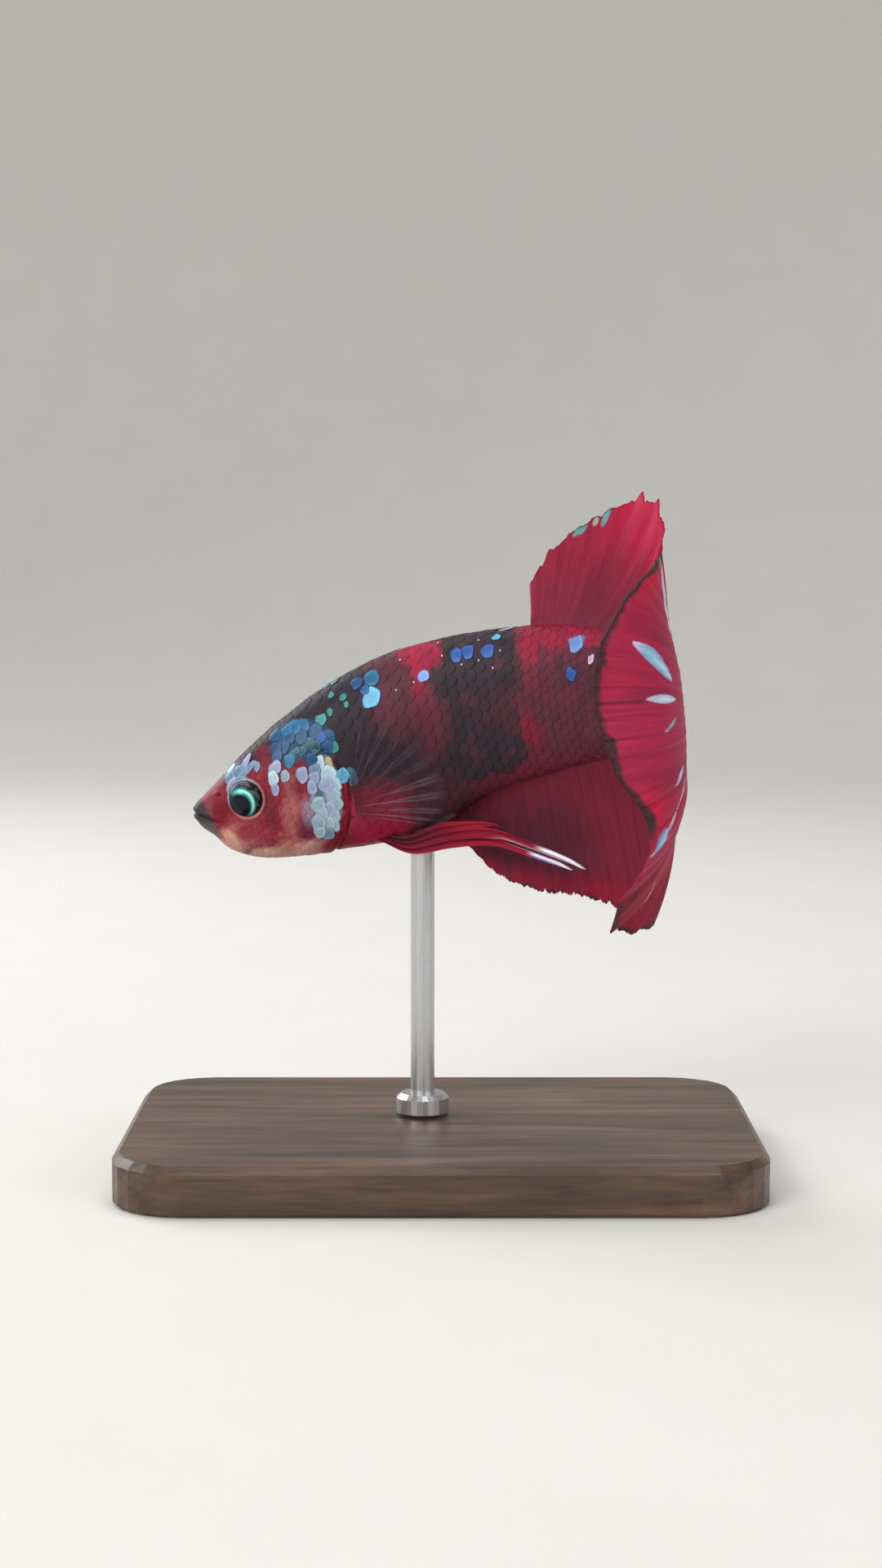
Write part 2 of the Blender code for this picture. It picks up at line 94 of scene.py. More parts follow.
ROOT_SINK = 0.9
DORSAL_BASE = (29.9, 37.6)
DORSAL_MARGIN = ((30.4, 11.3), (32.3, 13.8), (35.0, 15.6), (38.2, 16.9), (42.0, 17.6),
                 (45.4, 16.8), (46.9, 14.9), (45.8, 13.0))
ANAL_BASE = (20.9, 40.0)
ANAL_MARGIN = ((21.3, -9.2), (23.6, -12.2), (27.2, -14.0), (31.5, -14.8), (35.0, -15.7),
               (38.3, -16.3), (40.4, -15.0))
# The tail fin's rays: angle, length, lean at the root and at the tip.
TAIL_RAYS = (
    (62.5, 11.2, -2.0, 10.5),
    (50.0, 12.5, -4.0, 28.0),
    (37.0, 14.5, -10.0, 57.0),
    (26.0, 15.6, -15.0, 78.0),
    (16.5, 15.8, -17.0, 88.0),
    (7.5, 15.9, -18.0, 92.0),
    (-11.0, 15.7, -15.0, 76.5),
    (-23.0, 15.4, -11.0, 54.0),
    (-30.0, 15.5, -10.0, 48.5),
    (-36.5, 15.8, -9.0, 51.0),
    (-49.0, 16.5, -8.0, 61.5),
    (-62.5, 16.7, -7.0, 62.0),
    (-67.5, 15.4, -5.0, 47.5),
    (-71.5, 11.7, -4.0, 33.0),
    (-79.0, 9.3, -3.0, 23.5),
)
TAIL_ROOT_MIDDLE, TAIL_ROOT_HALF, TAIL_ROOT_SINK = 0.1, 3.5, 0.4
CHEST_FIN_ROOT = ((13.0, 4.2, -1.9), (12.8, 3.95, -4.3))
CHEST_FIN_MARGIN = ((14.9, 5.7, 3.2), (17.2, 6.4, 3.3), (19.6, 6.9, 1.7), (21.2, 7.0, -0.9),
                    (21.5, 6.8, -3.6), (20.4, 6.3, -5.8), (18.2, 5.6, -6.2))
BELLY_FIN_PATH = ((13.7, 1.3, -6.6), (16.3, 1.9, -8.15), (20.0, 2.5, -8.2), (24.5, 3.2, -8.65),
                  (29.0, 3.8, -10.1), (36.2, 4.4, -12.1))
BELLY_FIN_RAYS = (-1.1, -0.6, -0.1, 0.5, 1.0, 1.4, 1.9, 2.5)
# Each ray's number and how far along the blade it ends, with the notches between them.
BELLY_FIN_TIPS = ((0.0, 0.76), (0.375, 0.87), (1.0, 0.94), (1.5, 0.89), (1.625, 0.72), (2.0, 0.67),
                  (2.375, 0.72), (2.5, 0.93), (3.0, 1.0), (3.5, 0.93), (3.75, 0.8), (4.25, 0.74),
                  (5.0, 0.56), (6.0, 0.66), (7.0, 0.4))
BELLY_FIN_WIDTH = (0.25, 0.62)
ROD_S = 17.6

# ---------------------------------------------------------------- the coat's measures

COAT = 0.12
SKIN_SIDES = 208
HEAD_SPANS = 8
HEAD_RINGS, BODY_RINGS = 26, 16
BODY_ROWS, HEAD_ROWS = 15, 21
ARC_STEPS = 181
BAKE_LENGTH, BAKE_START = 48.0, 0.02
SCALE_PATCH = 0.0015
RIM_NUDGE = 0.006
# The eye's rim, from its inner wall over the edge and back under: radius, height over the skin.
LID_PROFILE = ((1.36, -0.5), (1.43, -0.16), (1.49, 0.02), (1.55, 0.09), (1.62, 0.115), (1.7, 0.105),
               (1.79, 0.06), (1.9, -0.02), (2.02, -0.13), (2.0, -0.45), (1.7, -0.6))
# The dorsal fin's uneven margin: place along it, width, rise.
DORSAL_TIPS = ((0.149, 0.012, 0.04), (0.25, 0.012, 0.035), (0.569, 0.018, 0.04), (0.684, 0.014, 0.045),
               (0.107, 0.018, -0.03), (0.207, 0.018, -0.03), (0.64, 0.02, -0.02), (0.8, 0.05, -0.02),
               (0.93, 0.025, -0.03))

# ---------------------------------------------------------------- the stand, the stage and the camera

PAD_SIDES = 48
PAD_PROFILE = ((0.9, -1.1), (1.18, -1.05), (1.3, -0.7), (1.32, -0.2), (1.36, 0.25), (1.3, 0.42), (0.9, 0.5))
STAGE_FLAT, STAGE_CURVE, STAGE_HEIGHT = 0.38, 0.3, 1.4
STAGE_STEPS, STAGE_SIDES = 12, 96
AIM = (0.0, 0.0, 0.032)
CAMERA_REACH, CAMERA_TILT, LENS = 0.22, math.radians(5.0), 61.2

# ---------------------------------------------------------------- colours, linear

CHARCOAL = (0.028, 0.02, 0.028)
NAPE = (0.024, 0.019, 0.028)
FOREHEAD = (0.034, 0.02, 0.026)
MAROON = (0.115, 0.022, 0.042)
WINE = (0.11, 0.014, 0.032)
BRUISE = (0.074, 0.02, 0.035)
CRIMSON = (0.225, 0.01, 0.034)
SCARLET = (0.34, 0.009, 0.045)
CHEEK = (0.23, 0.012, 0.028)
SNOUT_RED = (0.165, 0.003, 0.012)
SALMON = (0.42, 0.125, 0.12)
CREAM = (0.56, 0.32, 0.25)
LIP = (0.04, 0.031, 0.037)
LOWER_LIP = (0.135, 0.115, 0.118)
STEEL = (0.021, 0.084, 0.205)
AZURE = (0.03, 0.16, 0.32)
DEEP = (0.03, 0.11, 0.38)
VIOLET = (0.19, 0.34, 0.74)
TEAL = (0.045, 0.28, 0.27)
SLATE = (0.045, 0.12, 0.17)
ICE = (0.44, 0.62, 0.72)
SKY = (0.13, 0.46, 0.7)
PEARL = (0.31, 0.45, 0.54)
LILAC = (0.3, 0.345, 0.52)
GOLD = (0.42, 0.38, 0.26)
ROSE = (0.62, 0.45, 0.58)
MIST = (0.19, 0.29, 0.42)
SPECK = (0.6, 0.6, 0.66)

# Lines that the colours change at: places, and the heights, levels or distances there.
KEEL = ((17.0, 19.5, 22.0, 25.7, 28.5, 40.0), (-5.6, -4.8, -3.7, -4.0, -2.9, -2.6))
CHEEK_TOP = ((0.0, 3.0, 5.5, 7.0, 8.5, 11.0, 13.0), (0.96, 0.93, 0.86, 0.8, 0.69, 0.61, 0.55))
LIP_EDGE = ((-2.5, -1.25, -0.5, 0.6), (1.03, 0.85, 0.72, 0.48))
# The dorsal fin's marks: middle, half width, half height, colour.
DORSAL_MARKS = (
    ((0.302, 0.965), 0.04, 0.05, (0.12, 0.33, 0.34)),
    ((0.374, 0.96), 0.013, 0.045, (0.42, 0.44, 0.41)),
    ((0.424, 0.955), 0.02, 0.075, (0.1, 0.32, 0.35)),
)
# The tail fin's pale marks: from (t, v), to (t, v), half width in mm, colour.
TAIL_MARKS = (
    ((0.972, 0.92), (0.82, 0.475), 0.62, (0.2, 0.16, 0.48)),
    ((0.985, 0.92), (0.828, 0.475), 0.55, (0.7, 0.52, 0.62)),
    ((0.98, 0.995), (0.975, 0.93), 0.22, (0.12, 0.19, 0.22)),
    ((0.743, 0.835), (0.676, 0.518), 0.5, (0.24, 0.36, 0.6)),
    ((0.623, 0.734), (0.626, 0.489), 0.26, (0.42, 0.47, 0.64)),
    ((0.544, 0.647), (0.574, 0.518), 0.13, (0.18, 0.16, 0.22)),
    ((0.414, 0.683), (0.444, 0.518), 0.16, (0.4, 0.44, 0.62)),
    ((0.328, 0.985), (0.358, 0.84), 0.56, (0.13, 0.21, 0.44)),
    ((0.349, 0.885), (0.369, 0.719), 0.12, (0.42, 0.26, 0.4)),
    ((0.369, 0.719), (0.404, 0.518), 0.1, (0.5, 0.34, 0.44)),
    ((0.107, 0.892), (0.15, 0.7), 0.1, (0.5, 0.18, 0.24)),
)


def lerp(a, b, t):
    return a + (b - a) * t


def ease(edge0, edge1, x):
    """0 before one edge and 1 past the other, with a smooth rise between them."""
    t = np.clip((x - edge0) / (edge1 - edge0), 0.0, 1.0)
    return t * t * (3.0 - 2.0 * t)


def bell(x, centre, width):
    return np.exp(-(((x - centre) / width) ** 2))


def signed_power(x, power):
    return np.sign(x) * np.abs(x) ** power


def stacked(*parts):
    """Several values or fields as one field of points."""
    return np.stack(np.broadcast_arrays(*parts), -1)


def unit(vectors):
    return vectors / np.maximum(np.linalg.norm(vectors, axis=-1, keepdims=True), 1e-9)


def painter(shape):
    """A field of colours, and the function that lays another colour over it through a mask."""
    colour = np.zeros((*shape, 3))

    def lay(tint, mask=1.0):
        mask = np.clip(np.broadcast_to(mask, shape), 0.0, 1.0)[..., None]
        colour[...] = colour * (1.0 - mask) + np.array(tint) * mask

    return colour, lay


def curve_through(points, t):
    """Catmull-Rom curve through evenly spaced points, read at t from 0 to 1."""
    p = np.asarray(points, float)
    p = np.vstack([2 * p[0] - p[1], p, 2 * p[-1] - p[-2]])
    x = np.clip(np.asarray(t, float), 0.0, 1.0) * (len(p) - 3)
    i = np.minimum(x.astype(int), len(p) - 4)
    f = (x - i)[..., None]
    a, b, c, d = p[i], p[i + 1], p[i + 2], p[i + 3]
    bent = 2 * a - 5 * b + 4 * c - d
    steep = 3 * (b - c) + d - a
    return 0.5 * (2 * b + (c - a) * f + bent * f**2 + steep * f**3)


def spine_frames():
    """Distances along the spine, with the place, the left and the up of each."""
    s = np.linspace(-SPINE_REACH, LENGTH + SPINE_REACH, 1601)
    turn = np.clip(s / LENGTH, 0.0, 1.0) ** YAW_POWER
    yaw = np.radians(lerp(HEAD_YAW, TAIL_YAW, turn))
    pitch = np.radians(lerp(HEAD_PITCH, TAIL_PITCH, ease(0.2 * LENGTH, 0.95 * LENGTH, s)))
    along = stacked(np.cos(yaw) * np.cos(pitch), -np.sin(yaw), np.cos(yaw) * np.sin(pitch))
    up = stacked(-np.sin(pitch), 0.0, np.cos(pitch))
    steps = (along[1:] + along[:-1]) / 2 * (s[1] - s[0])
    place = np.vstack([np.zeros(3), np.cumsum(steps, 0)])
    place -= place[np.argmin(abs(s))]
    return s, place + np.array(SNOUT), np.cross(along, up), up


FRAMES = spine_frames()


def bend(points):
    """Carries (s, u, h) points to where they are on the bent fish, in millimetres."""
    points = np.asarray(points, float)
    s, u, h = np.moveaxis(points, -1, 0)
    table, *frames = FRAMES
    place, left, up = (stacked(*(np.interp(s, table, column) for column in part.T)) for part in frames)
    return place + u[..., None] * left + h[..., None] * up


SECTIONS = curve_through(BODY, np.linspace(0.0, 1.0, 600))


def body_line(s, column):
    return np.interp(s, SECTIONS[:, 0], SECTIONS[:, column])


def roundness(s):
    """The power of the sections' ovals: the head's are squarer."""
    return lerp(HEAD_ROUNDNESS, BODY_ROUNDNESS, ease(4.0, 16.0, s))


# ---------------------------------------------------------------- noise


def hashed(x, y, z, seed):
    n = (x * 374761393 + y * 668265263 + z * 1103515245 + seed * 1274126177) & 0xFFFFFFFF
    n = ((n ^ (n >> 13)) * 1274126177) & 0xFFFFFFFF
    return ((n ^ (n >> 16)) & 0xFFFF) / 32767.5 - 1.0


def noise(points, size, seed):
    """Smooth noise from -1 to 1 over (..., 3) points, with features of about the given size."""
    q = np.asarray(points, float) / size
    low = np.floor(q).astype(np.int64)
    f = q - low
    f = f * f * (3 - 2 * f)
    total = 0.0
    for corner in np.ndindex(2, 2, 2):
        weight = np.prod(np.where(corner, f, 1 - f), -1)
        total = total + weight * hashed(*np.moveaxis(low + corner, -1, 0), seed)
    return total


def cloud(points, size, seed, octaves=3):
    total, reach = 0.0, 0.0
    for k in range(octaves):
        total = total + noise(points, size / 2**k, seed + 17 * k) / 2**k
        reach += 1 / 2**k
    return total / reach


# ---------------------------------------------------------------- meshes


def add_piece(name, points, faces, material, uv=None, tint=None, closed=True, **fields):
    """A smooth mesh from millimetre points, with its bake map, its colours and other fields."""
    mesh = bpy.data.meshes.new(name)
    mesh.from_pydata((np.asarray(points) * MM).tolist(), [], faces)
    if tint is not None:
        fields["tint"] = np.insert(tint.reshape(-1, 3), 3, 1.0, 1)
    for key, values in fields.items():
        wide = values.shape[-1] if values.ndim > 1 else 1
        kind, word = {1: ("FLOAT", "value"), 3: ("FLOAT_VECTOR", "vector"), 4: ("FLOAT_COLOR", "color")}[wide]
        layer = mesh.attributes.new(key, kind, "POINT")
        layer.data.foreach_set(word, values.astype(np.float32).ravel())
    if uv is not None:
        mesh.uv_layers.new(name="OFBake").data.foreach_set("uv", np.asarray(uv, np.float32).ravel())
    mesh.shade_smooth()
    mesh.validate()
    mesh.materials.append(material)
    if closed:
        turn_outwards(mesh)
    thing = bpy.data.objects.new(name, mesh)
    bpy.context.scene.collection.objects.link(thing)
    return thing


def turn_outwards(mesh):
    """Reverses a closed mesh's faces if they point in."""
    mesh.calc_loop_triangles()
    corner = np.empty(len(mesh.loop_triangles) * 3, np.int32)
    mesh.loop_triangles.foreach_get("vertices", corner)
    place = np.empty(len(mesh.vertices) * 3, np.float32)
    mesh.vertices.foreach_get("co", place)
    if np.linalg.det(place.reshape(-1, 3)[corner.reshape(-1, 3)].astype(float)).sum() < 0:
        mesh.flip_normals()


def round_net(rings, sides, spot=None, closed=True):
    """Faces over rings of points that start, and if closed end, in one point, and their bake map."""
    last = rings - 1 if closed else rings

    def number(i, j):
        return 1 + (i - 1) * sides + (j % sides if i < last else 0) if i else 0

    faces, uv = [], []
    for i in range(rings - 1):
        for j in range(sides):
            corners = [(i, j), (i + 1, j), (i + 1, j + 1), (i, j + 1)]
            if i == 0:
                corners = [(0, j + 0.5), *corners[1:3]]
            elif i + 1 == last:
                corners[1:3] = [(last, j + 0.5)]
            faces.append([number(*corner) for corner in corners])
            if spot:
                uv += [spot(*corner, i) for corner in corners]
    return faces, uv


# ---------------------------------------------------------------- the skin's surface


def ring_places():
    """Places along the section table, closer together on the head."""
    spans = len(BODY) - 1
    parts = []
    for k in range(spans):
        count = HEAD_RINGS if k < HEAD_SPANS else BODY_RINGS
        parts.append((k + np.arange(count) / count) / spans)
    return np.append(np.concatenate(parts), 1.0)


def gill_place(s, h):
    """How far across the gill cover, and the distance from its middle, 1 on its edge."""
    across = (s - GILL_AT[0] - GILL_SLANT * (h - GILL_AT[1])) / GILL_HALF[0]
    up = (h - GILL_AT[1]) / GILL_HALF[1]
    return across, (np.abs(across) ** 2.35 + np.abs(up) ** 2.2) ** (1 / 2.28)


def mouth_place(s, h):
    """Distance from the line of the mouth, signed upwards, and how far along it, 1 at the corner."""
    ds, dh = s - MOUTH_TIP[0], h - MOUTH_TIP[1]
    run_s, run_h = MOUTH_CORNER[0] - MOUTH_TIP[0], MOUTH_CORNER[1] - MOUTH_TIP[1]
    size = math.hypot(run_s, run_h)
    return (dh * run_s - ds * run_h) / size, (ds * run_s + dh * run_h) / size**2


def eye_place(s, h):
    """Distance from the eye's middle, in millimetres up and down; the eye is narrower than tall."""
    return np.hypot((s - EYE_AT[0]) / EYE_NARROW, h - EYE_AT[2])


def nostril_place(s, h):
    return np.hypot((s - NOSTRIL_AT[0]) / 1.3, h - NOSTRIL_AT[1])


def relief(points):
    """How far the skin stands out from the plain body, in millimetres."""
    s, _, h = np.moveaxis(points, -1, 0)
    # The lips round the closed mouth, the dip under the lower one and the dimple at the corner.
    side, along = mouth_place(s, h)
    lips = 0.11 * bell(np.abs(side), 0.3, 0.18)
    out = (1.0 - ease(0.86, 1.08, along)) * (
        lips - lerp(0.015, 0.19, ease(-0.15, 0.35, along)) * bell(side, 0.0, 0.055))
    out = out - 0.2 * bell(np.hypot(s - 0.55, (h + 2.9) / 0.9), 0.0, 1.0)
    out = out - 0.05 * bell(np.hypot(s - 1.55, h + 2.0), 0.0, 0.25)
    # The eye's socket with its rim, and the nostril with its own.
    eye, nostril = eye_place(s, h), nostril_place(s, h)
    out = out - 1.05 * (1.0 - ease(1.38, 1.52, eye))
    out = out + 0.1 * bell(eye, 1.66, 0.13) - 0.05 * bell(eye, 2.0, 0.16)
    out = out - 0.16 * bell(nostril, 0.0, 0.12) + 0.06 * bell(nostril, 0.24, 0.09)
    # The gill cover over its softer flap, the slit behind them and the groove down the cheek.
    across, edge = gill_place(s, h)
    rear, low = ease(0.0, 0.45, across), ease(0.4, -1.4, h)
    cover = ease(-1.15, 0.4, across) * (1.0 - ease(0.99, 1.035, edge))
    flap = rear * low * (1.0 - ease(1.17, 1.21, edge)) * ease(0.98, 1.03, edge)
    out = out + 0.27 * cover + 0.12 * flap - 0.2 * rear * bell(edge, GILL_SLIT + FLAP_DEPTH * low, 0.035)
    groove = ease(-4.6, -3.4, h) * (1.0 - ease(-1.2, 0.2, h))
    out = out - 0.07 * groove * bell(across, -0.55 + 0.1 * np.sin(h), 0.07)
    return out + 0.03 * noise(points, 1.6, 5)


def build_skin_grid():
    """Rings of the skin: fish coordinates, places in millimetres, normals, and tables to read them by."""
    s, top, bottom, half = curve_through(BODY, ring_places()).T
    half = half * lerp(1.0, 0.36, ease(40.5, 45.5, s))
    inset = np.minimum(COAT, 0.35 * (top - bottom) / 2)
    middle = bottom + WIDEST_AT * (top - bottom)
    power = 2 / roundness(s)[:, None]

    def section(angle):
        cos, sin = np.cos(angle), np.sin(angle)
        tall = np.where(sin > 0, (top - middle)[:, None], (middle - bottom)[:, None]) - inset[:, None]
        wide = (half - np.minimum(inset, 0.35 * half))[:, None]
        return stacked(s[:, None], wide * signed_power(cos, power),
                      middle[:, None] + tall * signed_power(sin, power))

    def normals_of(grid, sense):
        wrapped = np.concatenate([grid[:, -1:], grid, grid[:, :1]], 1)
        around = np.gradient(wrapped, axis=1)[:, 1:-1]
        return sense * unit(np.cross(np.gradient(grid, axis=0), around))

    plain = section(np.linspace(0.0, 2 * math.pi, SKIN_SIDES, endpoint=False))
    # Left and right change hands in bend(), so the two fields' normals turn opposite ways.
    shaped = plain + relief(plain)[..., None] * normals_of(plain, -1.0)
    shaped[0] = plain[0]
    world = bend(shaped)
    quarter = np.linspace(math.pi / 2, -math.pi / 2, ARC_STEPS)
    steps = np.linalg.norm(np.diff(section(quarter), axis=1), axis=2)
    arc = np.concatenate([np.zeros((len(s), 1)), np.cumsum(steps, 1)], 1)
    return {"s": s, "shaped": shaped, "world": world, "normal": normals_of(world, 1.0),
            "quarter": quarter, "arc": arc, "top": top, "bottom": bottom, "half": half}


SKIN = build_skin_grid()


def ring_at(s):
    return np.interp(s, SKIN["s"], np.arange(len(SKIN["s"])))


def nearest_ring(s):
    return int(round(float(ring_at(s))))


def half_perimeter(s):
    return np.interp(s, SKIN["s"], SKIN["arc"][:, -1])


def arc_angle(ring, distance):
    """The section angle at a distance down the left flank from the back's ridge."""
    arc = SKIN["arc"][ring]
    total = arc[-1]
    folded = np.where(distance < 0, -distance, np.where(distance > total, 2 * total - distance, distance))
    angle = np.interp(folded, arc, SKIN["quarter"])
    return np.where((distance < 0) | (distance > total), math.pi - angle, angle)


def height_distance(s, h):
    """The distance down the flank at which the skin is at height h."""
    ring = nearest_ring(s)
    top, bottom = SKIN["top"][ring], SKIN["bottom"][ring]
    x = np.clip((h - (top + bottom) / 2) / ((top - bottom) / 2), -1.0, 1.0)
    angle = math.asin(float(signed_power(x, roundness(s) / 2)))
    return float(np.interp(-angle, -SKIN["quarter"], SKIN["arc"][ring]))


def read_skin(key, rings, angles):
    """The skin's grid read between its points, at fractional rings and section angles."""
    grid = SKIN[key]
    i = np.clip(rings, 0, len(grid) - 1.001)
    j = (angles / (2 * math.pi) * SKIN_SIDES) % SKIN_SIDES
    i0, j0 = np.floor(i).astype(int), np.floor(j).astype(int) % SKIN_SIDES
    fi, fj = (i - i0)[..., None], (j - np.floor(j))[..., None]
    j1 = (j0 + 1) % SKIN_SIDES
    return lerp(lerp(grid[i0, j0], grid[i0, j1], fj), lerp(grid[i0 + 1, j0], grid[i0 + 1, j1], fj), fi)


# ---------------------------------------------------------------- markings

# Single iridescent scales and flecks: s, h, half length, half height, turn in degrees, colour.
MARKS = (
    # the blue cluster behind the brow
    (7.8, 3.9, 0.43, 0.41, 0, STEEL), (8.8, 4.0, 0.45, 0.43, 0, AZURE), (9.5, 4.1, 0.49, 0.51, 0, AZURE),
    (10.2, 4.0, 0.47, 0.53, 0, AZURE), (11.1, 3.4, 0.49, 0.49, 0, STEEL), (12.0, 2.6, 0.47, 0.49, 0, STEEL),
    (12.2, 1.7, 0.34, 0.37, 0, TEAL), (11.6, 1.8, 0.46, 0.43, 0, STEEL), (11.3, 2.8, 0.42, 0.41, 0, DEEP),
    (8.1, 3.3, 0.39, 0.37, 0, STEEL), (8.8, 3.4, 0.45, 0.43, 0, STEEL), (9.8, 3.2, 0.45, 0.47, 0, STEEL),
    (7.5, 2.8, 0.41, 0.39, 0, STEEL), (8.2, 2.8, 0.41, 0.39, 0, STEEL), (8.9, 2.1, 0.42, 0.33, 0, SLATE),
    (10.2, 2.5, 0.49, 0.45, 0, SLATE), (10.7, 2.1, 0.41, 0.41, 0, SLATE), (7.4, 2.2, 0.39, 0.41, 0, STEEL),
    (9.5, 2.1, 0.37, 0.31, 0, SLATE), (8.3, 1.6, 0.39, 0.45, 0, AZURE), (10.1, 1.2, 0.41, 0.39, 0, STEEL),
    # the pale gill cover
    (10.7, 0.8, 0.34, 0.43, 0, ICE), (11.4, 0.5, 0.25, 0.41, 0, GOLD), (10.1, 0.3, 0.42, 0.41, 0, MIST),
    (11.1, -0.3, 0.55, 0.55, 0, ICE), (9.9, -0.3, 0.37, 0.41, 0, LILAC), (11.3, -1.3, 0.51, 0.49, 0, ICE),
    (12.2, -0.8, 0.52, 0.47, 0, SKY), (13.0, -1.1, 0.48, 0.77, 0, SLATE), (10.7, -1.1, 0.51, 0.47, 0, LILAC),
    (9.5, -1.0, 0.32, 0.47, 0, LILAC), (11.0, -2.1, 0.52, 0.53, 0, PEARL), (11.1, -2.8, 0.42, 0.49, 0, PEARL),
    (9.6, -2.5, 0.51, 0.49, 0, PEARL), (10.4, -3.1, 0.46, 0.45, 0, LILAC), (10.6, -3.7, 0.46, 0.46, 0, PEARL),
    (9.7, -3.3, 0.42, 0.41, 0, PEARL), (9.2, -4.0, 0.47, 0.57, 0, PEARL), (10.0, -4.2, 0.42, 0.51, 0, PEARL),
    (10.4, -4.4, 0.38, 0.53, 0, PEARL), (9.7, -5.0, 0.49, 0.42, 0, MIST), (9.1, -4.7, 0.38, 0.41, 0, PEARL),
    # the lilac bar and its two flecks
    (7.0, 1.4, 0.45, 0.39, 0, LILAC), (6.6, 0.6, 0.34, 0.49, 0, ICE), (6.5, -0.3, 0.26, 0.41, 0, LILAC),
    (7.6, 0.5, 0.31, 0.37, 0, PEARL), (9.0, 0.2, 0.39, 0.5, 0, LILAC),
    # the brow over the eye
    (3.6, 2.3, 0.33, 0.29, 0, ICE), (3.3, 1.6, 0.38, 0.47, 0, MIST), (4.0, 1.9, 0.47, 0.34, 0, MIST),
    (4.8, 2.4, 0.59, 0.23, 35, LILAC), (4.9, 1.9, 0.62, 0.22, 15, MIST), (5.6, 1.9, 0.23, 0.31, 0, MIST),
    (4.2, 1.5, 0.57, 0.27, 20, MIST), (3.2, 1.0, 0.47, 0.27, 40, LILAC),
    # the nape and the back
    (13.2, 5.8, 0.26, 0.25, 0, TEAL), (14.1, 5.4, 0.3, 0.28, 0, TEAL), (13.1, 6.6, 0.31, 0.18, 30, TEAL),
    (13.7, 6.7, 0.32, 0.16, 0, TEAL), (14.2, 4.8, 0.2, 0.25, 0, TEAL), (12.7, 4.5, 0.19, 0.25, 0, TEAL),
    (11.8, 4.1, 0.4, 0.38, 0, TEAL), (15.5, 6.2, 0.5, 0.5, 0, STEEL), (16.0, 5.5, 0.4, 0.39, 0, DEEP),
    (16.8, 6.3, 0.65, 0.69, 0, AZURE), (16.4, 4.8, 0.74, 0.81, -30, SKY), (18.9, 8.0, 0.58, 0.19, 25, SKY),
    (21.1, 5.5, 0.49, 0.44, 0, VIOLET), (24.1, 6.6, 0.46, 0.62, 0, DEEP), (25.1, 6.7, 0.49, 0.62, 0, DEEP),
    (26.8, 6.5, 0.56, 0.56, 0, DEEP), (27.5, 7.5, 0.36, 0.25, 0, SKY), (28.1, 8.0, 0.56, 0.15, 10, LILAC),
    (34.8, 6.2, 0.77, 0.84, -20, VIOLET), (34.5, 3.8, 0.58, 0.65, 20, DEEP),
    (36.5, 4.9, 0.34, 0.5, -25, ROSE),
)

# Tiny white specks on the back: s, h.
SPECKS = ((20.2, 5.2), (18.6, 4.9), (19.4, 7.2), (26.0, 7.5), (27.9, 6.4), (22.9, 6.8), (22.6, 7.9),
          (24.5, 5.8), (26.0, 5.9), (27.2, 5.1))

# Soft areas of colour: colour, s, h, half length, half height, turn, softness, raggedness, strength.
AREAS = (
    (MAROON, 18.2, 4.2, 2.3, 3.4, 0, 0.35, 0.35, 0.85),
    (SCARLET, 20.6, 7.4, 1.5, 0.9, -10, 0.15, 0.45, 1.0),
    (SCARLET, 22.1, 6.9, 0.8, 0.75, 0, 0.15, 0.45, 1.0),
    (SCARLET, 20.9, 6.0, 0.8, 1.3, 15, 0.2, 0.45, 0.95),
    (SCARLET, 20.7, 3.6, 0.7, 1.7, 6, 0.3, 0.6, 0.75),
    (MAROON, 20.8, 1.2, 1.6, 2.6, 0, 0.6, 0.6, 0.9),
    (MAROON, 26.5, 1.8, 2.2, 1.5, 0, 0.8, 0.6, 0.25),
    (MAROON, 34.5, 1.8, 5.6, 6.4, 0, 0.35, 0.45, 1.0),
    (SCARLET, 33.6, 7.3, 4.6, 1.3, -8, 0.25, 0.35, 0.85),
    (SCARLET, 30.2, 6.2, 1.0, 1.2, 0, 0.3, 0.7, 1.0),
    (SCARLET, 32.6, 5.9, 0.7, 1.5, 0, 0.5, 0.5, 0.4),
    (CRIMSON, 29.9, -0.8, 0.8, 1.9, 8, 0.4, 0.8, 0.9),
    (CRIMSON, 30.8, 3.2, 0.7, 1.2, 25, 0.5, 0.8, 0.5),
    (CHARCOAL, 37.6, 1.5, 0.8, 4.0, 0, 0.6, 0.5, 0.4),
    ((0.3, 0.016, 0.055), 14.0, -4.9, 3.8, 2.7, 0, 0.35, 0.2, 1.0),
    (SCARLET, 14.2, -6.7, 2.6, 1.1, 0, 0.5, 0.3, 0.9),
    (BRUISE, 19.6, -4.4, 2.4, 2.2, 5, 0.5, 0.4, 0.95),
)

